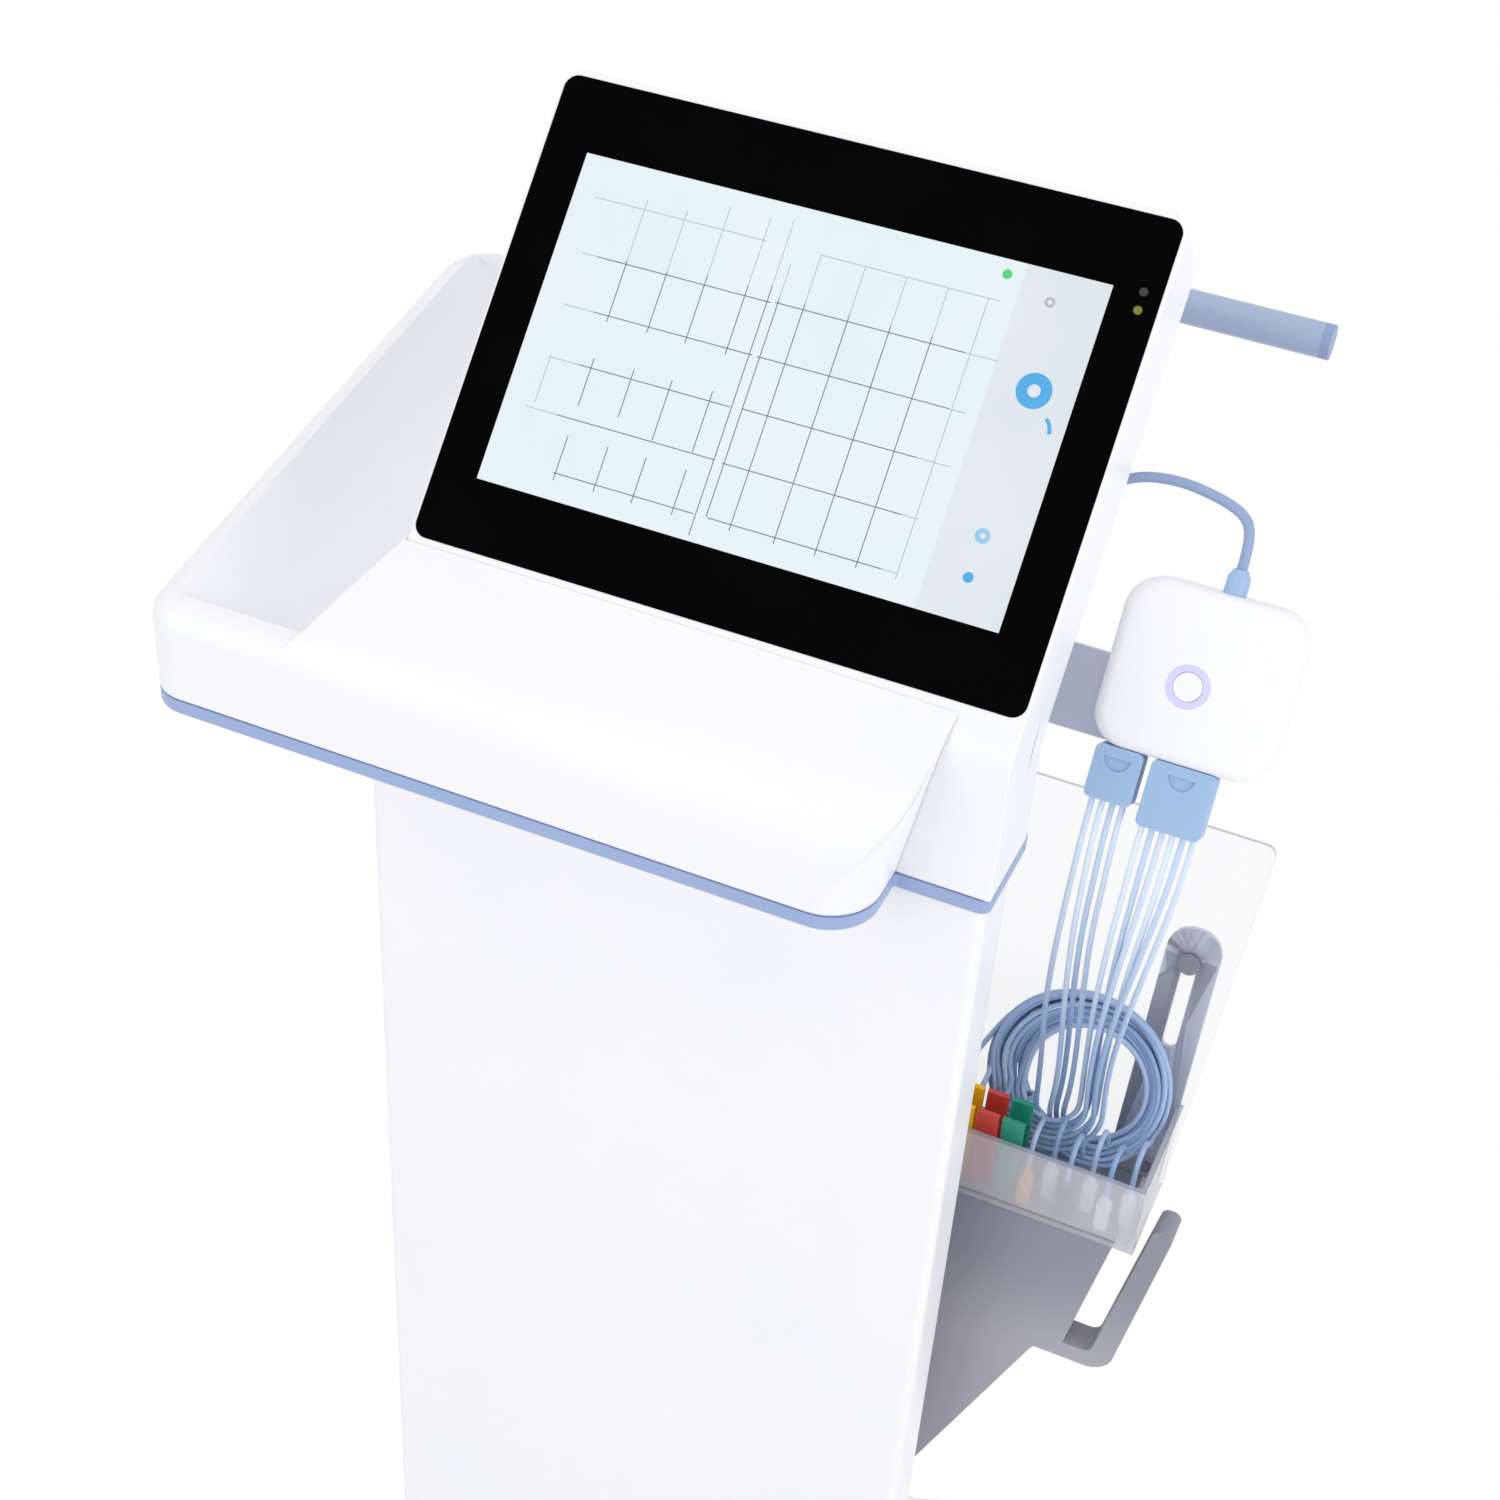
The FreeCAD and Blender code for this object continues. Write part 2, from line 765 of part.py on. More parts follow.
def make_head():
    whole = head_solid(0.0, head_depth, 0.0, 0.0)
    top_corner = screen.at(0, screen_length)
    top_far = screen.at(0, screen_length, -head_depth)

    def along_top_corner(edge):
        spot = middle_of(edge)
        level = (spot.y - top_corner.y) * screen.up.y + (spot.z - top_corner.z) * screen.up.z
        return abs(level) < tolerance and abs(edge.BoundBox.XLength) < tolerance

    whole = whole.makeFillet(head_corner, edges_where(whole, along_top_corner))

    def depth_of(point):
        tilted = -(point.y - top_corner.y) * screen.out.y - (point.z - top_corner.z) * screen.out.z
        return tilted

    def on_rear_rim(edge):
        spot = middle_of(edge)
        on_slope = abs(depth_of(spot) - head_depth) < tolerance
        beside = min(abs(spot.x - head_left), abs(spot.x - head_right)) < tolerance
        high = abs(spot.y - top_far.y) < head_corner and abs(spot.z - top_far.z) < head_corner
        return on_slope and (beside or high)

    whole = whole.makeFillet(head_rear_edge, edges_where(whole, on_rear_rim))

    def on_front_rim(edge):
        spot = middle_of(edge)
        high = abs(spot.y - top_corner.y) < head_corner and abs(spot.z - top_corner.z) < head_corner
        beside = min(abs(spot.x - head_left), abs(spot.x - head_right)) < tolerance
        return abs(depth_of(spot)) < tolerance and (beside or high)

    whole = whole.makeFillet(head_front_edge / 2, edges_where(whole, on_front_rim))
    front_zone = head_solid(-head_wall, head_split, -head_wall, -head_wall)
    rear_zone = head_solid(head_split, head_depth + head_wall, -head_wall, -head_wall)
    front_space = head_solid(head_wall + glass_thickness, head_split, head_wall, head_wall)
    rear_space = head_solid(head_split, head_depth - head_wall, head_wall, head_wall)
    front = whole.common(front_zone).cut(front_space)
    glass_x = (-glass_width / 2, glass_width / 2)
    glass_up = (chin, chin + glass_height)
    pocket_x = (glass_x[0] - glass_fit, glass_x[1] + glass_fit)
    pocket_up = (glass_up[0] - glass_fit, glass_up[1] + glass_fit)
    seat = glass_proud - glass_thickness
    front = front.cut(screen.plate(pocket_x, pocket_up, (seat, head_wall), glass_corner))
    picture_up = chin + picture_rise + picture_height / 2
    window_x = (-panel_width / 2, panel_width / 2)
    window_up = (picture_up - panel_height / 2, picture_up + panel_height / 2)
    front = front.cut(screen.plate(window_x, window_up, (-head_split, seat), 0.0))
    write("head_front_shell", front)
    write("head_rear_shell", whole.common(rear_zone).cut(rear_space))

    write("touch_glass", screen.plate(glass_x, glass_up, (seat, glass_proud), glass_corner))
    write("lcd_panel", screen.plate(window_x, window_up, (seat - panel_thickness, seat), 0.0))
    board_x = (-board_size[0] / 2, board_size[0] / 2)
    board_up = (picture_up - board_size[1] / 2, picture_up + board_size[1] / 2)
    back = head_wall - head_depth
    low = back + board_stand
    plate = screen.plate(board_x, board_up, (low, low + board_thickness), 0.0)
    stands = []
    for u in (board_x[0] + board_stand_inset, board_x[1] - board_stand_inset):
        for v in (board_up[0] + board_stand_inset, board_up[1] - board_stand_inset):
            stands.append(screen.rod(u, v, back, low, board_stand_radius))
    write("main_board", joined([plate] + stands))
    lights = []
    for rise in status_light_heights:
        u = glass_x[1] - status_light_from_edge
        light_top = glass_proud + status_light_height
        lights.append(screen.rod(u, chin + rise, glass_proud, light_top, status_light_radius))
    write("status_lights", Part.Compound(lights))


# Shelf, trim and pan

shelf_points = rectangle((shelf_left, shelf_right), (shelf_front, shelf_back))
shelf_radii = [shelf_corner_front_left, shelf_corner_front_right, shelf_corner_back, shelf_corner_back]


def rim_height(y):
    return shell_bottom + shelf_front_height + (y - shelf_front) * shelf_rise


def above_plane(height):
    """Everything above a sloping plane whose height at a place is given."""
    span = (shelf_left - TALL, shelf_right + TALL)
    depth = (shelf_front - TALL, shelf_back + TALL)
    corners = [V(x, y, height(x, y)) for x, y in rectangle(span, depth)]
    return prism(corners, [0.0] * len(corners), UP * (2 * TALL))


def ramp_solids():
    """The slope from the screen's lower edge to the front lip, and the room above it.

    At the left it ends in the lip's round edge, and to the right it swells until it bows down to the trim.
    """
    top = screen.at(0, chin - ramp_below_glass)
    rise = top.z - shell_bottom
    flare = rise * math.tan(math.radians(ramp_flare))
    lean = rise * math.tan(math.radians(ramp_right_lean))
    ends = (head_left - flare, shelf_right + 2 * lean)
    left_nose = top.z - (top.y - shelf_front) * math.tan(math.radians(ramp_slope))
    right_slope = math.atan2(rise - ramp_right_nose_height, top.y - shelf_front)
    half_turn = (math.radians(QUARTER) - right_slope) / 2
    right_radius = (ramp_right_nose_height - ramp_right_foot) / math.tan(half_turn)
    noses = (left_nose, shell_bottom + ramp_right_nose_height)
    back = top.y + ramp_overrun
    slopes = []
    rooms = []
    for x, nose, nose_radius in zip(ends, noses, (ramp_nose, right_radius)):
        back_z = top.z + ramp_overrun * (top.z - nose) / (top.y - shelf_front)
        front = [V(x, shelf_front, shell_bottom), V(x, shelf_front, nose), V(x, back, back_z)]
        slope = front + [V(x, back, shell_bottom)]
        slopes.append(rounded_wire(slope, [0.0, nose_radius, 0.0, 0.0]))
        above = [V(x, shelf_front - ramp_nose, shell_bottom)] + front
        above = above + [V(x, back, back_z + rise), V(x, shelf_front - ramp_nose, back_z + rise)]
        rooms.append(rounded_wire(above, [0.0, 0.0, nose_radius, 0.0, 0.0, 0.0]))
    ramp = Part.makeLoft(slopes, True, True)
    room = Part.makeLoft(rooms, True, True)
    corners = [V(x, y, shell_bottom) for x, y in shelf_points]
    ramp = ramp.common(prism(corners, shelf_radii, V(2 * lean, 0, 2 * rise)))
    beyond = shelf_left - flare
    left_of_flare = [
        (head_left, top.z),
        (head_left, top.z + flare),
        (beyond, top.z + flare),
        (beyond, shell_bottom),
        (head_left - flare, shell_bottom),
    ]
    ramp = ramp.cut(front_prism(left_of_flare, [0.0] * len(left_of_flare), (shelf_front, back)))
    beside_head = block((beyond, head_left), (top.y, back), (shell_bottom, top.z + rise))
    return ramp.cut(beside_head), room


def dish_solid():
    """The hollow at the left: a wall that curves down from the rim to a floor, along the slope of the rim."""
    start = shelf_front + dish_rim
    rim = rim_height(start)
    left = shelf_left + dish_rim
    foot = left + dish_wall_run
    floor = rim - dish_depth
    radius = (dish_wall_run * dish_wall_run + dish_depth * dish_depth) / (2 * dish_depth)
    half = math.asin(dish_wall_run / radius) / 2
    middle = V(foot - radius * math.sin(half), start, floor + radius * (1 - math.cos(half)))
    corners = [V(foot, start, floor), V(head_left, start, floor), V(head_left, start, rim + TALL)]
    corners = corners + [V(left, start, rim + TALL), V(left, start, rim)]
    edges = [Part.LineSegment(p, q).toShape() for p, q in zip(corners, corners[1:])]
    edges.append(Part.Arc(corners[-1], middle, corners[0]).toShape())
    length = shelf_back - dish_rim - start
    return Part.Face(Part.Wire(edges)).extrude(V(0, length, length * shelf_rise))


def make_shelf():
    heights = (shell_bottom, shell_bottom + TALL)
    outline = plan_prism(shelf_points, shelf_radii, heights)
    deck = outline.cut(above_plane(lambda x, y: rim_height(y)))
    top_face = max(deck.Faces, key=lambda face: face.CenterOfMass.z)
    deck = deck.makeFillet(shelf_edge, top_face.Edges)
    ramp, room = ramp_solids()
    shelf = deck.cut(room).fuse(ramp).cut(dish_solid().cut(ramp))
    wall = shelf_wall
    space_points = rectangle((shelf_left + wall, shelf_right - wall), (shelf_front + wall, shelf_back - wall))
    space_radii = [radius - wall for radius in shelf_radii]
    space = plan_prism(space_points, space_radii, heights)
    below_dish = space.cut(above_plane(lambda x, y: rim_height(y) - dish_depth - wall))
    below_deck = space.cut(above_plane(lambda x, y: rim_height(y) - shelf_edge))
    beside_dish = block((head_left + wall, shelf_right), (head_back, shelf_back), heights)
    room.translate(V(0, wall, -wall))
    shelf = shelf.cut(below_dish.cut(room)).cut(below_deck.common(beside_dish))
    head_room = head_solid(-head_fit, head_depth + head_fit, -head_fit, -head_fit)
    write("shelf", shelf.cut(head_room))


def trim_outline():
    points = [
        (shelf_left, shelf_front),
        (shelf_right, shelf_front),
        (shelf_right, head_front),
        (head_right, head_front),
        (head_right, head_back),
        (shelf_right, head_back),
        (shelf_right, shelf_back),
        (shelf_left, shelf_back),
    ]
    step = trim_width / 2
    tight = trim_width + trim_corner_step
    radii = [
        shelf_corner_front_left,
        shelf_corner_front_right,
        step,
        tight,
        tight,
        step,
        shelf_corner_back,
        shelf_corner_back,
    ]
    return points, radii


def inset_prism(inset, z):
    """The trim's outline drawn in by an inset, between two heights."""
    points, radii = trim_outline()
    face = Part.Face(rounded_wire([V(x, y, z[0]) for x, y in points], radii))
    if inset > 0:
        face = face.makeOffset2D(-inset)
    return face.extrude(V(0, 0, z[1] - z[0]))


def make_trim():
    trim_top = trim_bottom + trim_height
    band = inset_prism(0.0, (trim_bottom, trim_top))
    tongue = inset_prism(trim_tongue_inset, (trim_bottom, shell_bottom))
    inside = inset_prism(trim_width, (trim_bottom, shell_bottom))
    write("edge_trim", band.fuse(tongue).removeSplitter().cut(inside))
    write("shelf_pan", inset_prism(trim_width, (trim_bottom, trim_bottom + pan_thickness)))


# Push handle

def make_handle():
    half = handle_length / 2
    bar_x = (screen_centre - half + handle_cap, screen_centre + half - handle_cap)
    radius = handle_diameter / 2
    bar = cross_rod(bar_x, handle_y, handle_height, radius)
    write("handle_bar", bar)
    caps = [
        cross_rod((bar_x[0] - handle_cap, bar_x[0]), handle_y, handle_height, radius),
        cross_rod((bar_x[1], bar_x[1] + handle_cap), handle_y, handle_height, radius),
    ]
    write("handle_end_caps", Part.Compound(caps))
    eye = bracket_eye_radius
    outline = [
        (shelf_back, bracket_foot_bottom),
        (handle_y, bracket_foot_bottom + eye),
        (handle_y + eye, bracket_foot_top),
        (handle_y + eye, handle_height),
        (handle_y - eye, handle_height),
        (shelf_back, bracket_foot_top),
    ]
    arms = []
    for side in (-1, 1):
        middle = screen_centre + side * bracket_spacing / 2
        x = (middle - bracket_width / 2, middle + bracket_width / 2)
        arm = profile_prism(outline, [0.0, eye, eye, 0.0, 0.0, 0.0], x)
        arm = arm.fuse(cross_rod(x, handle_y, handle_height, eye)).removeSplitter()
        arms.append(arm.cut(bar))
    write("handle_brackets", Part.Compound(arms))


# Acquisition module

module = Lean((module_x, module_y, module_z), module_lean)


def make_module():
    half = module_width / 2
    across = (-half, half)
    up = (module_bottom, module_bottom + module_height)
    front = module.plate(across, up, (-module_split, 0.0), module_corner)
    face = max(front.Faces, key=lambda f: f.CenterOfMass.dot(module.out))
    front = front.makeFillet(module_edge, face.Edges)
    inner = (-half + module_wall, half - module_wall)
    inner_up = (up[0] + module_wall, up[1] - module_wall)
    corner = module_corner - module_wall
    space = module.plate(inner, inner_up, (-module_split, -module_wall - module_edge / 2), corner)
    front = front.cut(space)
    ring_radius = ring_diameter / 2
    button_radius = button_diameter / 2
    bore_radius = button_radius + button_gap
    ring_well = module.rod(ring_across, ring_up, -ring_depth, 0.0, ring_radius)
    bore = module.rod(ring_across, ring_up, -module_split, 0.0, bore_radius)
    write("module_front_shell", front.cut(ring_well).cut(bore))
    write("module_ring_light", ring_well.cut(bore))
    rear = module.plate(across, up, (-module_depth, -module_split), module_corner)
    rear = rear.cut(module.plate(inner, inner_up, (module_wall - module_depth, -module_split), corner))
    write("module_rear_shell", rear)
    stop = button_depth + button_travel
    board = module.plate(inner, inner_up, (-module_split, module_board_thickness - module_split), corner)
    switch_out = (module_board_thickness - module_split, -stop - button_gap)
    switch = module.rod(ring_across, ring_up, switch_out[0], switch_out[1], switch_radius)
    write("module_board", joined([board, switch]))
    write("module_button", module.rod(ring_across, ring_up, -button_depth, 0.0, button_radius))

    back = -module_depth - cradle_thickness
    plate_across = (across[0] + cradle_inset, across[1] - cradle_inset)
    plate_up = (up[0] + cradle_inset, up[1] - cradle_inset)
    plate = module.plate(plate_across, plate_up, (back, -module_depth), module_corner - cradle_inset)
    arm_across = (shelf_right - module.origin.x, 0.0)
    arm = module.plate(arm_across, (arm_bottom, arm_top), (back, -module_depth), 0.0)
    write("module_cradle", joined([plate, arm]))


def make_plugs():
    bottom = module_bottom
    out = (-plug_back, plug_thickness - plug_back)
    for name, middle, width, length in (
        ("limb_lead_plug", limb_plug_across, limb_plug_width, limb_plug_length),
        ("chest_lead_plug", chest_plug_across, chest_plug_width, chest_plug_length),
    ):
        across = (middle - width / 2, middle + width / 2)
        plug = module.plate(across, (bottom - length, bottom), out, plug_corner)
        thumb_up = bottom - thumb_drop
        thumb = module.rod(middle, thumb_up, out[1] - thumb_depth, out[1], thumb_radius)
        upper = (thumb_up, thumb_up + thumb_radius)
        thumb = thumb.cut(module.plate((middle - width, middle + width), upper, (out[0], out[1]), 0.0))
        write(name, plug.cut(thumb))


# Cords

def tube(points, diameter):
    """A round cord along straight runs and tangent arcs, with the radii of its bends."""
    corners = [V(*point) for point in points]
    edges = []
    radii = []
    start = corners[0]
    for i in range(1, len(corners) - 1):
        to_last = corners[i - 1] - corners[i]
        to_next = corners[i + 1] - corners[i]
        half = to_last.getAngle(to_next) / 2
        reach = 0.45 * min(to_last.Length, to_next.Length)
        radius = reach * math.tan(half)
        radii.append(radius)
        inward = (to_last.normalize() + to_next.normalize()).normalize()
        first = corners[i] + to_last * reach
        last = corners[i] + to_next * reach
        middle = corners[i] + inward * (radius / math.sin(half) - radius)
        edges.append(Part.LineSegment(start, first).toShape())
        edges.append(Part.Arc(first, middle, last).toShape())
        start = last
    edges.append(Part.LineSegment(start, corners[-1]).toShape())
    return piped(edges, diameter), radii


def piped(edges, diameter):
    path = Part.Wire(edges)
    start = path.Edges[0].valueAt(path.Edges[0].FirstParameter)
    heading = path.Edges[0].tangentAt(path.Edges[0].FirstParameter)
    section = Part.Wire(Part.Circle(start, heading, diameter / 2).toShape())
    solid = path.makePipeShell([section], True, False)
    ideal = math.pi * diameter * diameter / 4 * path.Length
    print("cord", round(path.Length, 1), "mm long, volume over ideal", round(solid.Volume / ideal, 4))
    return solid


def lifted(route):
    """A route with its heights counted from the floor."""
    return [(x, y, trim_bottom + z) for x, y, z in route]


def blend(first_route, last_route, share):
    return [tuple(a + (b - a) * share for a, b in zip(p, q)) for p, q in zip(first_route, last_route)]


def make_leads():
    for name, count, first_route, last_route in (
        ("limb_leads", limb_lead_count, limb_left_route, limb_right_route),
        ("chest_leads", chest_lead_count, chest_left_route, chest_right_route),
    ):
        wires = []
        for i in range(count):
            route = lifted(blend(first_route, last_route, i / (count - 1)))
            wire, radii = tube(route, lead_diameter)
            print(name, i, "tightest bend", round(min(radii), 1))
            wires.append(wire)
        write(name, Part.Compound(wires))
    cable, radii = tube(lifted(cable_route), cable_diameter)
    print("module_cable bends", [round(radius, 1) for radius in radii])
    write("module_cable", cable)


# Coil of leads, in a frame that leans with the lead board

coil = Lean((coil_x, coil_y, coil_z), board_lean)


def coil_place(turn):
    """A place on the coil's line, counted in turns, and its direction there."""

    def place(at):
        layer_span = coil_turns_per_layer + 0.5
        layer = min(int(at / layer_span), coil_layers - 1)
        within = at - layer * layer_span
        wound = min(within, coil_turns_per_layer)
        drawn_in = coil_pitch * wound
        if layer % 2 == 1:
            drawn_in = coil_layer_radius - drawn_in
        climbed = max(within - coil_turns_per_layer, 0.0) / 0.5
        height = (layer + climbed - (coil_layers - 1) / 2) * coil_pitch
        angle = math.radians(360.0 * at)
        radius = coil_outer_radius - drawn_in
        return coil.at(radius * math.cos(angle), radius * math.sin(angle), height)

    step = 1e-4
    ahead = place(turn + step) - place(turn - step)
    return place(turn), ahead.normalize()


def biarc(start, start_heading, end, end_heading):
    """Two arcs that leave one place and reach another in the given directions."""
    gap = end - start
    both = start_heading + end_heading
    across = gap.dot(both)
    turn = 2 * (1 - start_heading.dot(end_heading))
    reach = (math.sqrt(across * across + turn * gap.dot(gap)) - across) / turn
    first_corner = start + start_heading * reach
    last_corner = end - end_heading * reach
    joint = (first_corner + last_corner) * 0.5

    def arc(from_place, corner, to_place):
        chord_middle = (from_place + to_place) * 0.5
        bow = (corner - chord_middle).Length
        half_chord = (to_place - from_place).Length / 2
        half = math.atan2(bow, half_chord)
        sag = half_chord * math.tan(half / 2)
        middle = chord_middle + (corner - chord_middle).normalize() * sag
        return Part.Arc(from_place, middle, to_place).toShape()

    return [arc(start, first_corner, joint), arc(joint, last_corner, end)]


def make_coil():
    turns = coil_layers * coil_turns_per_layer + (coil_layers - 1) * 0.5
    quarters = int(round(turns * 4))
    stops = [coil_place(i / 4) for i in range(quarters + 1)]
    edges = []
    first, first_heading = stops[0]
    edges.append(Part.LineSegment(first - first_heading * lead_diameter, first).toShape())
    for (start, heading), (end, end_heading) in zip(stops, stops[1:]):
        edges.extend(biarc(start, heading, end, end_heading))
    last, last_heading = stops[-1]
    edges.append(Part.LineSegment(last, last + last_heading * lead_diameter).toShape())
    print("coil turns", turns, "least gap", round(least_gap(edges), 3))
    write("lead_coil", piped(edges, lead_diameter))


def least_gap(edges):
    """The least distance between the coil's own loops, measured on points along its line."""
    points = []
    for edge in edges:
        count = max(2, int(edge.Length / 2.0))
        points.extend(edge.discretize(count + 1)[:-1])
    along = [0.0]
    for a, b in zip(points, points[1:]):
        along.append(along[-1] + (b - a).Length)
    apart = math.pi * (coil_outer_radius - coil_layer_radius)
    least = TALL
    for i, a in enumerate(points):
        for j in range(i + 1, len(points)):
            if along[j] - along[i] > apart:
                least = min(least, (points[j] - a).Length)
    return least - lead_diameter


def make_clips():
    """The six chest clips, which stand in the tray in two staggered rows."""
    floor = tray_bottom + clear_wall
    shoulder = floor + clip_height
    clips = []
    for i in range(chest_lead_count):
        x = clip_first + i * clip_pitch
        y = clip_rows[i % len(clip_rows)]
        across = (x - clip_width / 2, x + clip_width / 2)
        deep = (y - clip_thickness / 2, y + clip_thickness / 2)
        body = rounded_block(across, deep, (floor, shoulder), clip_corner)
        neck = Part.makeCylinder(clip_neck_radius, clip_neck_height, V(x, y, shoulder))
        clips.append(joined([body, neck]))
    write("chest_clips", Part.Compound(clips))


def make_cable_ends():
    base = module_bottom + module_height
    axis_at = module.at(cable_plug_across, base, -cable_plug_back)
    body = Part.makeCylinder(cable_plug_radius, cable_plug_length, axis_at, module.up)
    relief_at = axis_at + module.up * cable_plug_length
    relief = Part.makeCone(cable_plug_radius, cable_relief_radius, cable_relief_length, relief_at, module.up)
    write("module_cable_plug", joined([body, relief]))
    end = V(*lifted(cable_route)[-1])
    rear = Lean((end.x, end.y, end.z), screen_lean)
    seat = (screen.at(0, 0, -head_depth) - end).dot(screen.out)
    across = (-cable_socket_length, 0.0)
    half = cable_socket_width / 2
    socket = rear.plate(across, (-half, half), (seat - cable_socket_depth, seat), 0.0)
    write("module_cable_socket", socket)


# Clear board and tray

board = Lean((0.0, tray_back, tray_bottom), board_lean)


def make_tray():
    board_rise = math.tan(math.radians(board_lean))
    top = tray_bottom + tray_wall_height
    wall = clear_wall

    def side(inset, low):
        back = tray_back + (low - tray_bottom) * board_rise
        back_top = tray_back + tray_wall_height * board_rise
        return [(tray_front + inset, low), (back, low), (back_top, top), (tray_front + inset, top)]

    outer = profile_prism(side(0.0, tray_bottom), [wall, 0.0, 0.0, 0.0], (tray_left, tray_right))
    inner_points = side(wall, tray_bottom + wall)
    inner = profile_prism(inner_points, [wall / 2, 0.0, 0.0, 0.0], (tray_left + wall, tray_right - wall))
    write("lead_tray", outer.cut(inner))

    right = tray_right
    top_up = lead_board_height
    points = [(tray_left, 0.0), (right, 0.0), (right + lead_board_flare, top_up), (tray_left, top_up)]
    radii = [0.0, 0.0, lead_board_corner, lead_board_corner]
    sheet = board.slab(points, radii, -lead_board_thickness, 0.0)
    middle = right - support_from_edge
    half = support_width / 2
    back = -lead_board_thickness
    strap_out = (back - support_thickness, back)
    strap_up = (-support_width, support_height)
    strap = board.plate((middle - half, middle + half), strap_up, strap_out, half * 0.9)
    slot_half = support_slot_width / 2
    slot_up = (support_slot_bottom, support_slot_top)
    slot = board.plate((middle - slot_half, middle + slot_half), slot_up, strap_out, slot_half * 0.98)
    below_tray = block((-TALL, TALL), (-TALL, TALL), (0.0, tray_bottom))
    strap = strap.cut(slot).cut(below_tray)
    write("board_support", strap)

    screw_up = support_slot_top - slot_half
    shank_radius = slot_half - shank_clearance
    shank = board.rod(middle, screw_up, strap_out[0], 0.0, shank_radius)
    knob = board.rod(middle, screw_up, 0.0, knob_height, knob_radius)
    nut = board.rod(middle, screw_up, strap_out[0] - knob_height, strap_out[0], knob_radius)
    sheet = sheet.cut(below_tray).cut(board.rod(middle, screw_up, back, 0.0, shank_radius))
    write("lead_board", sheet)
    heads = [joined([knob, shank, nut])]
    for share in (0.4, 0.76, 0.92):
        across = tray_left + (tray_right - tray_left) * share
        heads.append(board.rod(across, board_screw_rise, 0.0, screw_height, screw_radius))
    write("board_screws", Part.Compound(heads))


# Side bracket with the cord hook

def make_bracket():
    lean = math.tan(math.radians(hook_lip_lean))
    seat_z = tray_bottom - hook_drop
    seat_x = post_half + hook_reach - hook_gap
    top_x = seat_x + hook_drop * lean
    lip_top = tray_bottom + hook_lip_rise
    lip_in = seat_x + hook_gap
    lip_top_in = lip_in + (lip_top - seat_z) * lean
    low = seat_z - hook_seat_thickness
    foot_x = seat_x - hook_gap
    body_outline = [
        (post_half, tray_bottom),
        (top_x, tray_bottom),
        (seat_x, seat_z),
        (foot_x, low),
        (post_half, tray_bottom - bracket_drop),
    ]
    depth = (bracket_front, bracket_back)
    body = front_prism(body_outline, [0.0, 0.0, hook_seat_thickness / 2, hook_gap, 0.0], depth)
    hook_outline = [
        (foot_x, low),
        (lip_in + hook_lip_thickness, low),
        (lip_top_in + hook_lip_thickness, lip_top),
        (lip_top_in, lip_top),
        (lip_in, seat_z),
        (foot_x, seat_z),
    ]
    round_lip = hook_lip_thickness * 0.45
    round_in = hook_gap * 0.4
    hook_radii = [0.0, hook_gap, round_lip, round_lip, round_in, 0.0]
    hook = front_prism(hook_outline, hook_radii, (bracket_front, bracket_front + hook_width))
    bracket = body.fuse(hook).removeSplitter()
    wall = bracket_shell
    hollow = [
        (post_half + wall, tray_bottom - wall),
        (top_x - 2 * wall, tray_bottom - wall),
        (seat_x - 3 * wall, seat_z),
        (post_half + wall, tray_bottom - bracket_drop + 6 * wall),
    ]
    bracket = bracket.cut(front_prism(hollow, [wall] * len(hollow), (bracket_front + wall, bracket_back)))
    write("side_bracket", bracket)


# Limb clamps in the tray

def make_clamps():
    floor = tray_bottom + clear_wall + clamp_floor_gap
    pin_z = floor + clamp_pin_rise
    top = floor + clamp_height
    half = clamp_width / 2
    pin_radius = clamp_pin_diameter / 2
    eye = pin_radius + clamp_plate / 2

    def jaw_outline(side):
        """One jaw's side outline: side is 1 for the back jaw and -1 for the front one."""
        mouth = clamp_middle + side * clamp_mouth_gap / 2
        handle = clamp_middle + side * clamp_handle_gap / 2
        at_pin = clamp_middle + side * (eye + clamp_mouth_gap / 2)
        plate = side * clamp_plate
        return [
            (mouth, floor),
            (at_pin, pin_z),
            (handle, top),
            (handle + plate, top),
            (at_pin + plate, pin_z),
            (mouth + plate, floor),
        ]

    for i, colour in enumerate(clamp_colours):
        middle = clamp_first + i * clamp_pitch
        x = (middle - half, middle + half)
        radii = [0.5] * len(jaw_outline(1))
        radii[1] = 0.0
        radii[4] = 0.0
        back_jaw = profile_prism(jaw_outline(1), radii, x)
        front_jaw = profile_prism(jaw_outline(-1), radii, x)
        back_at = clamp_middle + eye + clamp_mouth_gap / 2 + clamp_plate
        front_at = clamp_middle - eye - clamp_mouth_gap / 2 - clamp_plate
        ears = []
        for ear_x in ((x[0], x[0] + clamp_ear), (x[1] - clamp_ear, x[1])):
            ears.append(block(ear_x, (clamp_middle, back_at), (pin_z - eye, pin_z + eye)))
            ears.append(cross_rod(ear_x, clamp_middle, pin_z, eye))
        tongue_x = (x[0] + clamp_ear + clamp_tongue_gap, x[1] - clamp_ear - clamp_tongue_gap)
        tongue = block(tongue_x, (front_at, clamp_middle), (pin_z - eye, pin_z + eye))
        tongue = tongue.fuse(cross_rod(tongue_x, clamp_middle, pin_z, eye))
        pin = cross_rod(x, clamp_middle, pin_z, pin_radius)
        boot_z = floor + clamp_boot_rise
        boot = Part.makeCylinder(clamp_boot_radius, clamp_boot_length, V(middle, back_at, boot_z), V(0, 1, 0))
        body = joined([back_jaw] + ears + [boot]).cut(pin)
        write("clamp_body_" + colour, Part.Compound([body, pin]))
        bore = cross_rod(x, clamp_middle, pin_z, pin_radius + running_clearance)
        write("clamp_jaw_" + colour, joined([front_jaw, tongue]).cut(bore))


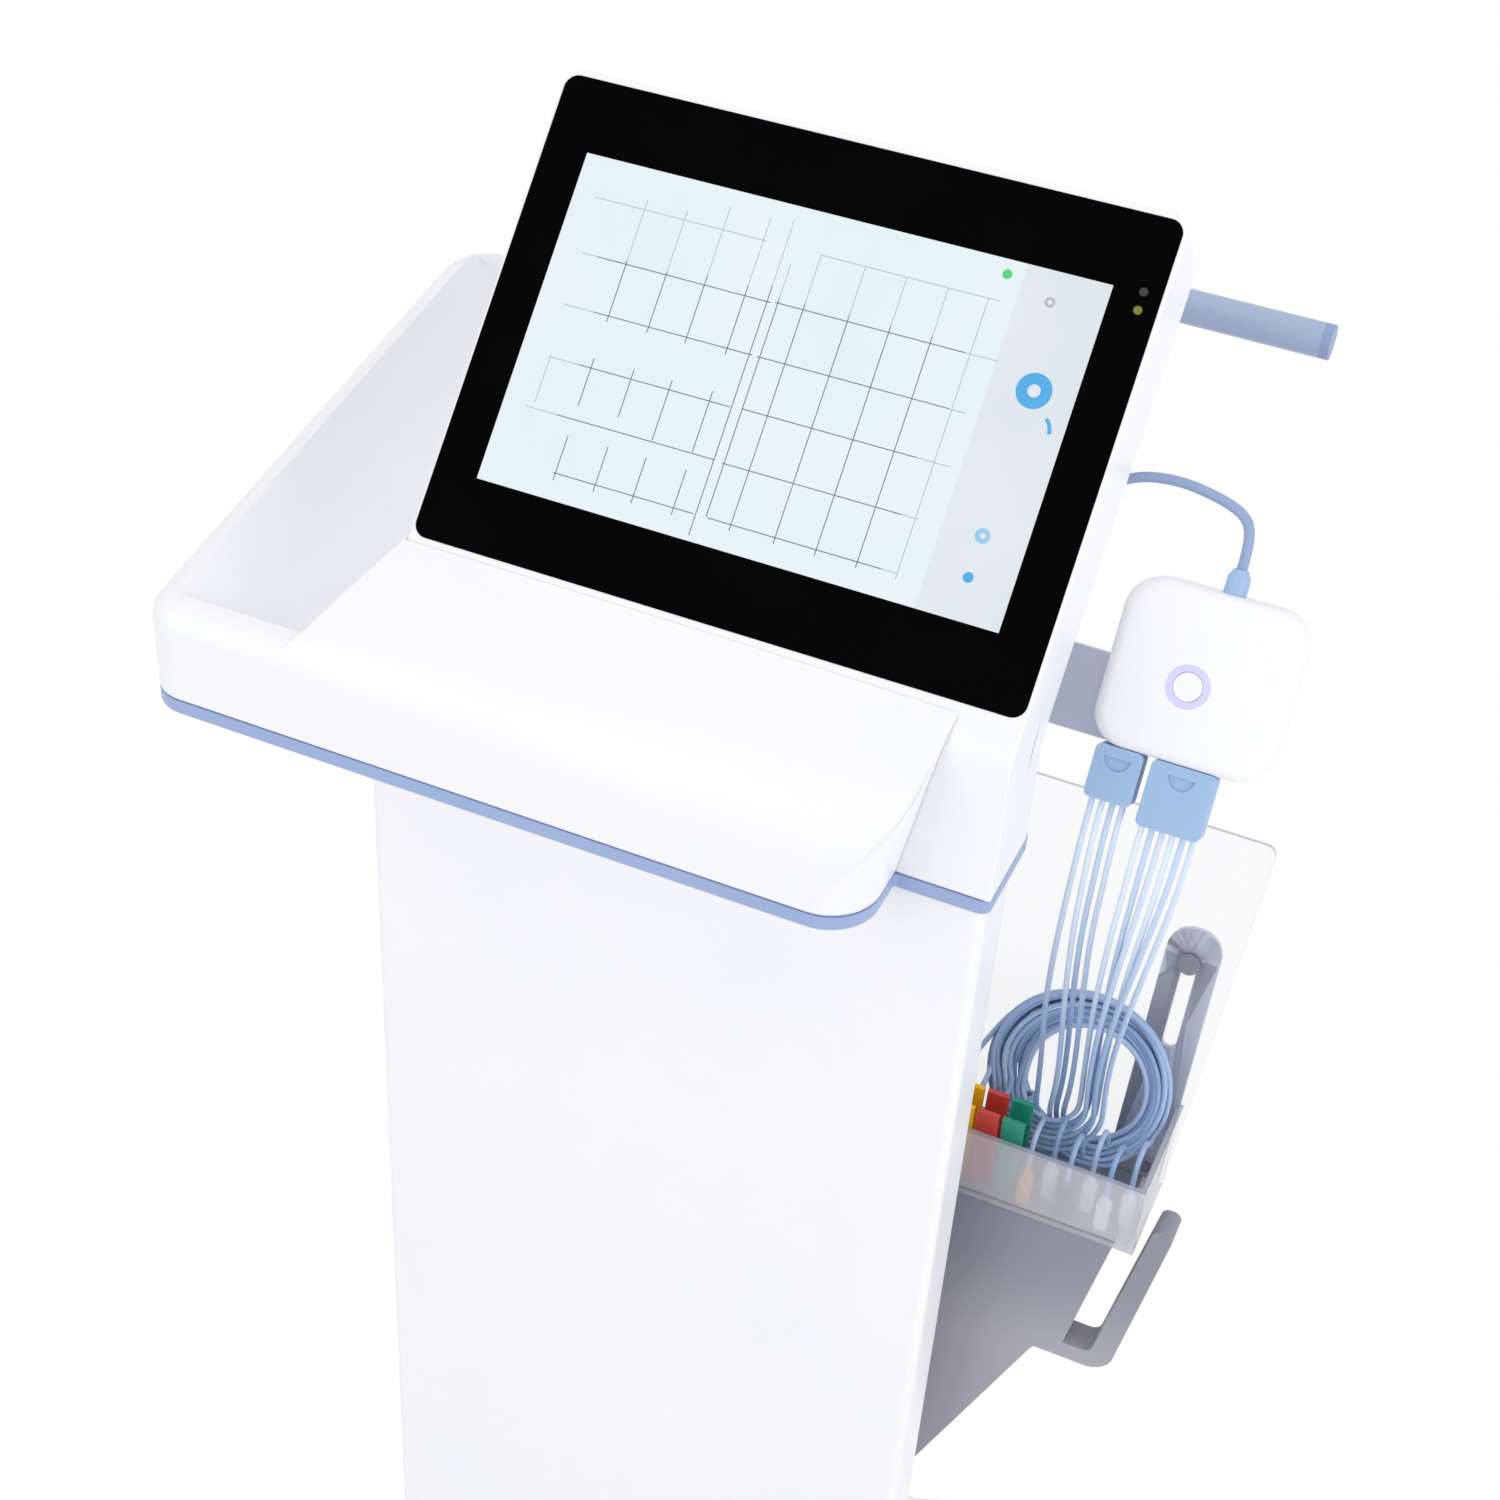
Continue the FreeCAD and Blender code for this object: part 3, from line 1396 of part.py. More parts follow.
os.makedirs("parts", exist_ok=True)
make_castors()
make_base()
make_column()
make_head()
make_shelf()
make_trim()
make_handle()
make_module()
make_plugs()
make_leads()
make_coil()
make_clips()
make_cable_ends()
make_tray()
make_bracket()
make_clamps()
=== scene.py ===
# %% [markdown]
# # An ECG machine on a trolley
# The rigid parts of this machine come from a CAD model, which Blender loads as a frame that stays
# where it is. This lesson adds what CAD leaves plain: patient leads that hang and coil, the lit
# picture on the screen, and a finish for each moulded, painted, clear or rubber surface.

# %% Load the frame
import json
import math

import bmesh
import bpy
from mathutils import Matrix, Vector


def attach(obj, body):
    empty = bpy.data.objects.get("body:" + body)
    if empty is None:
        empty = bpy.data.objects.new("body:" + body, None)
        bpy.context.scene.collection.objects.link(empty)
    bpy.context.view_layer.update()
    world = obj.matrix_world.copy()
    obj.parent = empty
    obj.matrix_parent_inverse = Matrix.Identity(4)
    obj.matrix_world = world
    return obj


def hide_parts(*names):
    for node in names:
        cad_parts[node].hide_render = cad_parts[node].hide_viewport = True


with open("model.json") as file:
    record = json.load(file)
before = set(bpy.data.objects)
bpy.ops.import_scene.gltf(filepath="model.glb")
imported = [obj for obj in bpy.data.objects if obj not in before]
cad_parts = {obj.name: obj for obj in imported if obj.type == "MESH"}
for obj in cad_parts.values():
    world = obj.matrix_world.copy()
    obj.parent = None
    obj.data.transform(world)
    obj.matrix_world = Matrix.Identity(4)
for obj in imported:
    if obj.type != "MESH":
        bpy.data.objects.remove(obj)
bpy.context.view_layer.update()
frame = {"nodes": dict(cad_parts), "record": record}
nodes = frame["nodes"]

# %% [markdown]
# ## Camera
# The photograph looks down on the machine from the front and the right. A camera can be placed by
# eye, but here its place and turn were worked out from the corners of the screen and the shelf, so
# they are written as one matrix: the columns are right, up and backwards, and then the place.

# %% Camera
camera = bpy.data.objects.new("photo_camera", bpy.data.cameras.new("photo_camera"))
bpy.context.scene.collection.objects.link(camera)
camera.data.lens = 60.47
camera.data.sensor_width = 36.0
camera.matrix_world = Matrix((
    (0.9127, -0.2930, 0.2849, 0.3733),
    (0.4045, 0.5480, -0.7322, -0.9769),
    (0.0584, 0.7835, 0.6186, 1.6713),
    (0.0, 0.0, 0.0, 1.0),
))
bpy.context.scene.camera = camera
print("camera at", [round(x, 3) for x in camera.matrix_world.translation])

# %% [markdown]
# ## Patient leads: from the plugs down to the coil
# Ten thin leads leave two plugs, hang in two flat fans and come together in a coil below. Each is
# one length of limp cord, so each is one curve. A Bezier curve would need handles at every point;
# a NURBS curve needs only a few places to pass near and is smooth by itself. The outer two leads of
# a fan have listed routes, and the leads between them are blends of those two.

# %% Routes of the outer leads and of the module's cable
limb_left_route = [
    (0.1895, -0.0573, 0.9323), (0.1895, -0.0643, 0.9202), (0.1890, -0.0670, 0.8970),
    (0.1870, -0.0630, 0.8530), (0.1850, -0.0520, 0.8070), (0.1835, -0.0365, 0.7620),
    (0.1830, -0.0240, 0.7280), (0.1830, -0.0188, 0.7000), (0.1830, -0.0182, 0.6800),
    (0.1924, -0.0221, 0.6657), (0.2083, -0.0240, 0.6585), (0.2256, -0.0229, 0.6605),
    (0.2323, -0.0200, 0.6655),
]
limb_right_route = [
    (0.2045, -0.0573, 0.9323), (0.2045, -0.0643, 0.9202), (0.2035, -0.0665, 0.8970),
    (0.2000, -0.0625, 0.8530), (0.1970, -0.0515, 0.8070), (0.1945, -0.0360, 0.7620),
    (0.1933, -0.0235, 0.7280), (0.1930, -0.0180, 0.7020), (0.1930, -0.0172, 0.6828),
    (0.1993, -0.0194, 0.6731), (0.2098, -0.0205, 0.6682), (0.2214, -0.0196, 0.6696),
    (0.2259, -0.0174, 0.6727),
]
chest_left_route = [
    (0.2155, -0.0603, 0.9271), (0.2155, -0.0673, 0.9150), (0.2145, -0.0700, 0.8920),
    (0.2115, -0.0670, 0.8500), (0.2085, -0.0570, 0.8060), (0.2063, -0.0420, 0.7640),
    (0.2052, -0.0300, 0.7270), (0.2050, -0.0240, 0.7080), (0.2050, -0.0222, 0.6939),
    (0.1998, -0.0241, 0.6858), (0.1910, -0.0246, 0.6814), (0.1812, -0.0224, 0.6817),
    (0.1735, -0.0166, 0.6859), (0.1718, -0.0116, 0.6891),
]
chest_right_route = [
    (0.2405, -0.0603, 0.9271), (0.2405, -0.0673, 0.9150), (0.2390, -0.0700, 0.8920),
    (0.2340, -0.0665, 0.8500), (0.2290, -0.0565, 0.8060), (0.2245, -0.0420, 0.7640),
    (0.2220, -0.0305, 0.7300), (0.2216, -0.0250, 0.7080), (0.2215, -0.0238, 0.6895),
    (0.2113, -0.0285, 0.6738), (0.1940, -0.0304, 0.6655), (0.1748, -0.0279, 0.6667),
    (0.1596, -0.0201, 0.6764), (0.1563, -0.0136, 0.6838),
]
cable_route = [
    (0.2260, 0.0044, 1.0352), (0.2260, 0.0114, 1.0473), (0.2215, 0.0175, 1.0550),
    (0.2075, 0.0215, 1.0585), (0.1850, 0.0250, 1.0600), (0.1630, 0.0240, 1.0560),
    (0.1450, 0.0130, 1.0440), (0.1180, 0.0130, 1.0440),
]


def between(first_route, last_route, share):
    """A route that is a blend of two others, point by point."""
    return [Vector(p).lerp(Vector(q), share) for p, q in zip(first_route, last_route)]


print("route points:", len(limb_left_route), len(chest_left_route), len(cable_route))

# %% [markdown]
# ## Patient leads: the loose coil
# The rest of each lead is wound by hand into a ring that leans on the clear board. A torus would be
# one smooth doughnut, so the turns are more points of each lead's own curve, sixteen to a turn. A
# NURBS curve passes inside its points, so the radius is divided by how much it shrinks. Hand winding is
# never even: every lead has its own radius, its own depth in the ring, and a ring centre that wanders a
# little, so the turns fan out at the left as they do in the photograph.

# %% Places on the coil
coil_middle = Vector((0.201, 0.0, 0.6965))
point_every = 22.5
spline_shrink = 0.981
radius_sway = 0.0016
depth_sway = 0.0008
board_lean = math.radians(20.0)
coil_up = Vector((0.0, math.sin(board_lean), math.cos(board_lean)))
coil_out = Vector((0.0, -math.cos(board_lean), math.sin(board_lean)))


def on_coil(angle, radius, depth):
    """A place on the ring by its angle in degrees, its radius, and how far it stands out from the middle."""
    turn = math.radians(angle)
    place = coil_middle + coil_out * depth
    return place + Vector((radius * math.cos(turn), 0.0, 0.0)) + coil_up * (radius * math.sin(turn))


def loose_turns(start, end, first, last, aside, phase):
    """Points of a few turns from one angle to another; first and last are (radius, depth) in metres."""
    steps = round(abs(end - start) / point_every)
    points = []
    for i in range(1, steps + 1):
        share = i / steps
        angle = start + (end - start) * share
        sway = math.sin(math.radians(angle * 0.5 + phase))
        left = 0.5 - 0.5 * math.cos(math.radians(angle))
        radius = first[0] + (last[0] - first[0]) * share + radius_sway * sway + aside * left
        sink = 1.0 - (1.0 - share) ** 3
        depth = first[1] + (last[1] - first[1]) * sink
        depth += depth_sway * math.cos(math.radians(angle + phase))
        points.append(on_coil(angle, radius / spline_shrink, depth))
    return points


print("a turn of 42 mm radius starts at", [round(x, 4) for x in on_coil(0.0, 0.042, 0.0)])

# %% [markdown]
# ## Patient leads: one curve each
# A limb lead ends in the boot of a clamp and a chest lead in the neck of a clip, both of which stand
# in the tray.

# %% Make the cords
lead_diameter = 0.003
cable_diameter = 0.005
limb_coil_start = -49.0
chest_coil_start = -159.6
full_turn = 360.0
first_boot = Vector((0.1370, -0.0285, 0.6845))
boot_pitch = 0.0140
first_neck_x, neck_pitch, neck_z = 0.1900, 0.0110, 0.6690
neck_rows = (-0.0500, -0.0410)
limb_phase_step, chest_phase_step = 40.0, 55.0
limb_lift, chest_lift = 0.003, 0.008
lead_out_step = 0.008


def lay_cord(name, points, diameter):
    """One open NURBS curve along the points, with a round section, that rides on the cart."""
    line = bpy.data.curves.new(name, "CURVE")
    line.dimensions = "3D"
    line.bevel_depth = diameter / 2
    line.bevel_resolution = 3
    line.resolution_u = 6
    line.use_fill_caps = True
    spline = line.splines.new("NURBS")
    spline.points.add(len(points) - 1)
    for control, place in zip(spline.points, points):
        control.co = (*place, 1.0)
    spline.order_u = 3
    spline.use_endpoint_u = True
    piece = bpy.data.objects.new(name, line)
    bpy.context.scene.collection.objects.link(piece)
    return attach(piece, "cart")


def swayed(points, across, forward):
    """The hanging stretch of a lead, moved a little off its place in the fan."""
    shares = [0.0, 0.0, 0.1, 0.35, 0.75, 1.0, 1.0, 0.9, 0.6, 0.2]
    shares += [0.0] * (len(points) - len(shares))
    return [p + Vector((across, -forward, 0.0)) * share for p, share in zip(points, shares)]


def lead_out(points, lift):
    """One more point that carries on from the last turn and lifts the lead off the coil."""
    along = (points[-1] - points[-2]).normalized()
    return points[-1] + along * lead_out_step + coil_out * lift


# Each lead's turns: radius and depth where they start and end, a bulge to the left, the angle at which
# the lead leaves the ring, and its sway across and forward in the fan.
limb_turns = [
    ((0.0452, 0.0070), (0.0475, -0.0020), 0.0040, 150.0, (-0.0025, -0.0010)),
    ((0.0435, 0.0068), (0.0455, -0.0055), 0.0020, 166.0, (0.0050, 0.0025)),
    ((0.0410, 0.0066), (0.0405, 0.0015), -0.0030, 186.0, (0.0040, -0.0020)),
    ((0.0395, 0.0068), (0.0395, -0.0040), -0.0045, 206.0, (0.0060, 0.0010)),
]
limb_leads = []
for i, (first, last, aside, leave, sway) in enumerate(limb_turns):
    points = swayed(between(limb_left_route, limb_right_route, i / (len(limb_turns) - 1)), *sway)
    points += loose_turns(limb_coil_start, leave + full_turn, first, last, aside, limb_phase_step * i)
    boot = first_boot + Vector((boot_pitch * i, 0.0, 0.0))
    points += [lead_out(points, limb_lift), boot + Vector((0.001, 0.0160, 0.0040))]
    points += [boot + Vector((0.0, 0.0060, 0.0)), boot + Vector((0.0, -0.0030, 0.0))]
    lead = lay_cord("limb_lead_%d" % (i + 1), points, lead_diameter)
    limb_leads.append(lead)

chest_turns = [
    ((0.0355, 0.0062), (0.0370, 0.0000), -0.0040, -100.0, (0.0010, 0.0000)),
    ((0.0375, 0.0066), (0.0395, -0.0060), -0.0050, -84.0, (0.0025, -0.0020)),
    ((0.0395, 0.0058), (0.0425, -0.0030), 0.0010, -66.0, (-0.0020, 0.0025)),
    ((0.0415, 0.0066), (0.0440, -0.0065), 0.0010, -50.0, (0.0000, -0.0020)),
    ((0.0435, 0.0056), (0.0460, -0.0045), 0.0040, -34.0, (-0.0045, 0.0025)),
    ((0.0455, 0.0064), (0.0480, 0.0010), 0.0050, -18.0, (-0.0030, 0.0000)),
]
chest_leads = []
for i, (first, last, aside, leave, sway) in enumerate(chest_turns):
    points = swayed(between(chest_left_route, chest_right_route, i / (len(chest_turns) - 1)), *sway)
    points += loose_turns(chest_coil_start, leave - 2 * full_turn, first, last, aside, chest_phase_step * i)
    neck = Vector((first_neck_x + neck_pitch * i, neck_rows[i % 2], neck_z))
    points += [lead_out(points, chest_lift), neck + Vector((0.0, 0.0200, 0.0200))]
    points += [neck + Vector((0.0, 0.0060, 0.0210)), neck + Vector((0.0, 0.0, 0.0110))]
    points += [neck + Vector((0.0, 0.0, -0.0020))]
    lead = lay_cord("chest_lead_%d" % (i + 1), points, lead_diameter)
    chest_leads.append(lead)

module_cord = lay_cord("module_cord", [Vector(p) for p in cable_route], cable_diameter)

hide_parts("limb_leads", "lead_coil")
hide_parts("chest_leads")
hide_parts("module_cable")
print("cords:", len(limb_leads), "limb,", len(chest_leads), "chest and 1 for the module")

# %% [markdown]
# ## Effects that several finishes share
# Moulded plastic, powder coat and rubber all have a fine grain, a tone that drifts a little from
# place to place, and dust that settles on what faces up. Some also get painted light: a painted
# highlight on their edges, and painted paleness towards one end. Copying those nodes into every
# material would be long and hard to change, so each effect is one node group with named sockets,
# and every material places it with its own values.

# %% Helpers for node trees
def linear(red, green, blue):
    """A colour as a picture editor writes it, 0 to 255, turned into the light values that shaders use."""
    shares = (red / 255, green / 255, blue / 255)
    light = [((c + 0.055) / 1.055) ** 2.4 if c > 0.04045 else c / 12.92 for c in shares]
    return (*light, 1.0)


def place_node(tree, kind, values=None, **settings):
    """A new node with its settings, and then the values of its sockets by name."""
    node = tree.nodes.new(kind)
    for name, value in settings.items():
        setattr(node, name, value)
    for name, value in (values or {}).items():
        node.inputs[name].default_value = value
    return node


def new_effect(name, inputs, outputs):
    """An empty node group with its sockets, and the nodes where values come in and go out."""
    tree = bpy.data.node_groups.new(name, "ShaderNodeTree")
    for label, kind, value in inputs:
        socket = tree.interface.new_socket(name=label, in_out="INPUT", socket_type="NodeSocket" + kind)
        socket.default_value = value
    for label, kind in outputs:
        tree.interface.new_socket(name=label, in_out="OUTPUT", socket_type="NodeSocket" + kind)
    return tree, tree.nodes.new("NodeGroupInput"), tree.nodes.new("NodeGroupOutput")


print("a light grey of 200 is", round(linear(200, 200, 200)[0], 3), "as light")

# %% Grain: a fine height and a roughness that changes with it
grain_effect, given, made = new_effect(
    "surface_grain",
    [("Size", "Float", 900.0), ("Smooth", "Float", 0.3), ("Rough", "Float", 0.45)],
    [("Height", "Float"), ("Roughness", "Float")],
)
where = place_node(grain_effect, "ShaderNodeTexCoord")
fine = place_node(grain_effect, "ShaderNodeTexNoise", {"Detail": 3.0, "Roughness": 0.6})
cells = place_node(grain_effect, "ShaderNodeTexVoronoi", feature="SMOOTH_F1")
both = place_node(grain_effect, "ShaderNodeMath", operation="MULTIPLY_ADD")
both.inputs[1].default_value = 0.6
broad = place_node(grain_effect, "ShaderNodeTexNoise", {"Scale": 14.0, "Detail": 4.0})
blend_rough = place_node(grain_effect, "ShaderNodeMapRange", {"From Min": 0.3, "From Max": 0.7})
link = grain_effect.links.new
link(where.outputs["Object"], fine.inputs["Vector"])
link(where.outputs["Object"], cells.inputs["Vector"])
link(where.outputs["Object"], broad.inputs["Vector"])
link(given.outputs["Size"], fine.inputs["Scale"])
link(given.outputs["Size"], cells.inputs["Scale"])
link(cells.outputs["Distance"], both.inputs[0])
link(fine.outputs["Fac"], both.inputs[2])
link(both.outputs["Value"], made.inputs["Height"])
link(broad.outputs["Fac"], blend_rough.inputs["Value"])
link(given.outputs["Smooth"], blend_rough.inputs["To Min"])
link(given.outputs["Rough"], blend_rough.inputs["To Max"])
link(blend_rough.outputs["Result"], made.inputs["Roughness"])
print("effect:", grain_effect.name, [s.name for s in grain_effect.interface.items_tree])

# %% Tone: a colour that drifts towards another in soft patches
tone_effect, given, made = new_effect(
    "tone_drift",
    [
        ("Colour", "Color", (1, 1, 1, 1)), ("Towards", "Color", (1, 1, 1, 1)),
        ("Patches", "Float", 6.0), ("Amount", "Float", 0.5),
    ],
    [("Colour", "Color")],
)
where = place_node(tone_effect, "ShaderNodeTexCoord")
patches = place_node(tone_effect, "ShaderNodeTexNoise", {"Detail": 3.0, "Roughness": 0.55})
spread = place_node(tone_effect, "ShaderNodeMapRange", {"From Min": 0.35, "From Max": 0.68})
mix = place_node(tone_effect, "ShaderNodeMix", data_type="RGBA")
link = tone_effect.links.new
link(where.outputs["Object"], patches.inputs["Vector"])
link(given.outputs["Patches"], patches.inputs["Scale"])
link(patches.outputs["Fac"], spread.inputs["Value"])
link(given.outputs["Amount"], spread.inputs["To Max"])
link(spread.outputs["Result"], mix.inputs["Factor"])
link(given.outputs["Colour"], mix.inputs["A"])
link(given.outputs["Towards"], mix.inputs["B"])
link(mix.outputs["Result"], made.inputs["Colour"])
print("effect:", tone_effect.name)

# %% Dust: a mask on what faces up
dust_effect, given, made = new_effect(
    "settled_dust",
    [("Colour", "Color", (1, 1, 1, 1)), ("Dust", "Color", (0.7, 0.7, 0.7, 1)), ("Amount", "Float", 0.2)],
    [("Colour", "Color"), ("Mask", "Float")],
)
where = place_node(dust_effect, "ShaderNodeTexCoord")
facing = place_node(dust_effect, "ShaderNodeSeparateXYZ")
upward = place_node(dust_effect, "ShaderNodeMapRange", {"From Min": 0.35, "From Max": 1.0})
motes = place_node(dust_effect, "ShaderNodeTexNoise", {"Scale": 120.0, "Detail": 5.0, "Roughness": 0.7})
specks = place_node(dust_effect, "ShaderNodeMapRange", {"From Min": 0.38, "From Max": 0.75})
lying = place_node(dust_effect, "ShaderNodeMath", operation="MULTIPLY")
mix = place_node(dust_effect, "ShaderNodeMix", data_type="RGBA")
link = dust_effect.links.new
link(where.outputs["Normal"], facing.inputs["Vector"])
link(facing.outputs["Z"], upward.inputs["Value"])
link(given.outputs["Amount"], upward.inputs["To Max"])
link(where.outputs["Object"], motes.inputs["Vector"])
link(motes.outputs["Fac"], specks.inputs["Value"])
link(upward.outputs["Result"], lying.inputs[0])
link(specks.outputs["Result"], lying.inputs[1])
link(lying.outputs["Value"], mix.inputs["Factor"])
link(given.outputs["Colour"], mix.inputs["A"])
link(given.outputs["Dust"], mix.inputs["B"])
link(mix.outputs["Result"], made.inputs["Colour"])
link(lying.outputs["Value"], made.inputs["Mask"])
print("effect:", dust_effect.name)

# %% Edge highlight: a painted highlight where a surface turns sharply
edge_highlight_effect, given, made = new_effect(
    "painted_edge_highlight",
    [
        ("Colour", "Color", (1, 1, 1, 1)), ("Rubbed", "Color", (1, 1, 1, 1)),
        ("Width", "Float", 0.0012), ("Amount", "Float", 0.4),
    ],
    [("Colour", "Color")],
)
# Painted highlight: where the rounded normal turns away from the plain one, the colour is mixed towards a
# lighter one.
rounded = place_node(edge_highlight_effect, "ShaderNodeBevel", samples=4)
plain = place_node(edge_highlight_effect, "ShaderNodeNewGeometry")
same = place_node(edge_highlight_effect, "ShaderNodeVectorMath", operation="DOT_PRODUCT")
turned = place_node(edge_highlight_effect, "ShaderNodeMapRange", {"From Min": 0.995, "From Max": 0.85, "To Min": 0.0})
mix = place_node(edge_highlight_effect, "ShaderNodeMix", data_type="RGBA")
link = edge_highlight_effect.links.new
link(given.outputs["Width"], rounded.inputs["Radius"])
link(rounded.outputs["Normal"], same.inputs[0])
link(plain.outputs["Normal"], same.inputs[1])
link(same.outputs["Value"], turned.inputs["Value"])
link(given.outputs["Amount"], turned.inputs["To Max"])
link(turned.outputs["Result"], mix.inputs["Factor"])
link(given.outputs["Colour"], mix.inputs["A"])
link(given.outputs["Rubbed"], mix.inputs["B"])
link(mix.outputs["Result"], made.inputs["Colour"])
print("effect:", edge_highlight_effect.name)

# %% Fade: painted light, a colour that turns paler from one height to another
fade_effect, given, made = new_effect(
    "paler_by_height",
    [
        ("Colour", "Color", (1, 1, 1, 1)), ("Pale", "Color", (1, 1, 1, 1)),
        ("From", "Float", 0.0), ("To", "Float", 1.0),
    ],
    [("Colour", "Color")],
)
where = place_node(fade_effect, "ShaderNodeNewGeometry")
height = place_node(fade_effect, "ShaderNodeSeparateXYZ")
climb = place_node(fade_effect, "ShaderNodeMapRange", interpolation_type="SMOOTHSTEP")
mix = place_node(fade_effect, "ShaderNodeMix", data_type="RGBA")
link = fade_effect.links.new
link(where.outputs["Position"], height.inputs["Vector"])
link(height.outputs["Z"], climb.inputs["Value"])
link(given.outputs["From"], climb.inputs["From Min"])
link(given.outputs["To"], climb.inputs["From Max"])
link(climb.outputs["Result"], mix.inputs["Factor"])
link(given.outputs["Colour"], mix.inputs["A"])
link(given.outputs["Pale"], mix.inputs["B"])
link(mix.outputs["Result"], made.inputs["Colour"])
print("effect:", fade_effect.name)

# %% [markdown]
# ## Finishes of the solid surfaces
# White shells are moulded plastic with a satin grain, the post and base are powder coated metal, the
# trim and handle are blue, the bracket is grey. They differ in colour, grain size and shine, and not
# in kind, so one function wires the shared effects to a Principled shader, and each finish is one call.

# %% Build a finish from the shared effects
finishes = {}
dust_colour = linear(196, 194, 190)
grain_strength = 0.35


def place_effect(tree, effect, **values):
    return place_node(tree, "ShaderNodeGroup", values, node_tree=effect)


def over_colour(tree, coloured, effect, **values):
    """Send a colour through a shared effect and return the socket with the changed colour."""
    changed = place_effect(tree, effect, **values)
    tree.links.new(coloured, changed.inputs["Colour"])
    return changed.outputs["Colour"]


def surface_finish(
    name, colour, towards, smooth, rough,
    grain=900.0, depth=0.00002, patches=6.0, drift=0.5, dust=0.0, edge_highlight=None, fade=None,
):
    """A material from the shared effects; fade is a paler colour of painted light and the heights in metres
    it goes by.
    """
    material = bpy.data.materials.new(name)
    material.use_nodes = True
    tree = material.node_tree
    link = tree.links.new
    shader = tree.nodes["Principled BSDF"]
    tone = place_effect(
        tree, tone_effect, Colour=linear(*colour), Towards=linear(*towards), Patches=patches, Amount=drift,
    )
    coloured = tone.outputs["Colour"]
    # Painted highlight: sharp edges are painted lighter.
    if edge_highlight:
        coloured = over_colour(tree, coloured, edge_highlight_effect, Rubbed=linear(*edge_highlight))
    if dust > 0:
        coloured = over_colour(tree, coloured, dust_effect, Dust=dust_colour, Amount=dust)
    # Painted light: the colour turns paler from one height to another.
    if fade:
        pale, start, end = fade
        coloured = over_colour(tree, coloured, fade_effect, Pale=linear(*pale), From=start, To=end)
    surface = place_effect(tree, grain_effect, Size=grain, Smooth=smooth, Rough=rough)
    bump = place_node(tree, "ShaderNodeBump", {"Strength": grain_strength, "Distance": depth})
    link(coloured, shader.inputs["Base Color"])
    link(surface.outputs["Roughness"], shader.inputs["Roughness"])
    link(surface.outputs["Height"], bump.inputs["Height"])
    link(bump.outputs["Normal"], shader.inputs["Normal"])
    finishes[name] = material
    return shader


for name in ("white_plastic", "shelf_plastic"):
    surface_finish(
        name, (246, 246, 249), (241, 242, 246), 0.34, 0.46, grain=1100.0, drift=0.6, dust=0.03,
    )
surface_finish(
    "white_metal", (243, 243, 246), (237, 238, 242), 0.40, 0.52,
    grain=700.0, depth=0.00004, dust=0.04,
)
surface_finish("trim_blue", (156, 176, 216), (146, 166, 208), 0.36, 0.48, patches=9.0)
surface_finish(
    "handle_blue", (167, 185, 213), (157, 176, 205), 0.32, 0.44,
    grain=700.0, depth=0.00003, edge_highlight=(174, 191, 219),
)
surface_finish("handle_cap", (148, 167, 204), (138, 157, 196), 0.42, 0.55)
surface_finish("plug_blue", (160, 190, 225), (148, 179, 217), 0.40, 0.54, grain=1400.0, edge_highlight=(178, 203, 231))
surface_finish("clip_white", (238, 240, 244), (228, 231, 238), 0.34, 0.48)
surface_finish("support_blue", (210, 215, 232), (202, 208, 226), 0.42, 0.56, edge_highlight=(220, 224, 238))
# The bracket is painted paler towards its lower end: painted light.
surface_finish(
    "bracket_grey", (143, 144, 158), (134, 135, 150), 0.46, 0.60,
    grain=600.0, depth=0.00005, dust=0.06, edge_highlight=(158, 159, 172), fade=((170, 169, 181), 0.62, 0.52),
)
surface_finish("castor_grey", (140, 146, 160), (128, 134, 149), 0.40, 0.55, dust=0.10, edge_highlight=(168, 173, 184))
surface_finish("castor_tyre", (88, 90, 97), (76, 78, 85), 0.62, 0.80, grain=500.0, depth=0.00010, dust=0.25)
surface_finish("pedal_blue", (112, 138, 190), (100, 126, 178), 0.40, 0.55, edge_highlight=(150, 170, 208), dust=0.06)
surface_finish(
    "black_plastic", (30, 30, 33), (38, 38, 42), 0.38, 0.52,
    grain=800.0, depth=0.00004, edge_highlight=(62, 62, 66),
)
surface_finish("battery_case", (60, 61, 66), (52, 53, 58), 0.45, 0.60)
surface_finish("supply_case", (176, 178, 181), (164, 166, 170), 0.34, 0.48)
surface_finish("circuit", (38, 110, 74), (30, 94, 62), 0.30, 0.50, grain=300.0, depth=0.00010, patches=60.0)
surface_finish("clamp_black", (44, 43, 47), (36, 35, 39), 0.34, 0.48, edge_highlight=(84, 83, 88))
surface_finish("clamp_red", (206, 62, 50), (190, 50, 42), 0.34, 0.48, edge_highlight=(226, 104, 92))
surface_finish("clamp_green", (26, 146, 120), (20, 130, 106), 0.34, 0.48, edge_highlight=(80, 178, 156))
surface_finish("clamp_yellow", (250, 188, 24), (238, 172, 16), 0.34, 0.48, edge_highlight=(252, 208, 92))
steel = surface_finish(
    "screw_steel", (142, 146, 156), (126, 130, 141), 0.24, 0.38, grain=2600.0, edge_highlight=(170, 174, 182),
)
steel.inputs["Metallic"].default_value = 1.0
print("finishes:", len(finishes))

# %% [markdown]
# ## A soft edge on the shelf's ramp
# The ramp ends at its right in an edge that is sharp in the CAD model and slightly rounded on the real
# shelf. A Bevel node turns the normal near an edge, as a rounding would. Its radius is nothing elsewhere
# and grows only along that edge, because under the glass a turned normal would look like a dark seam.

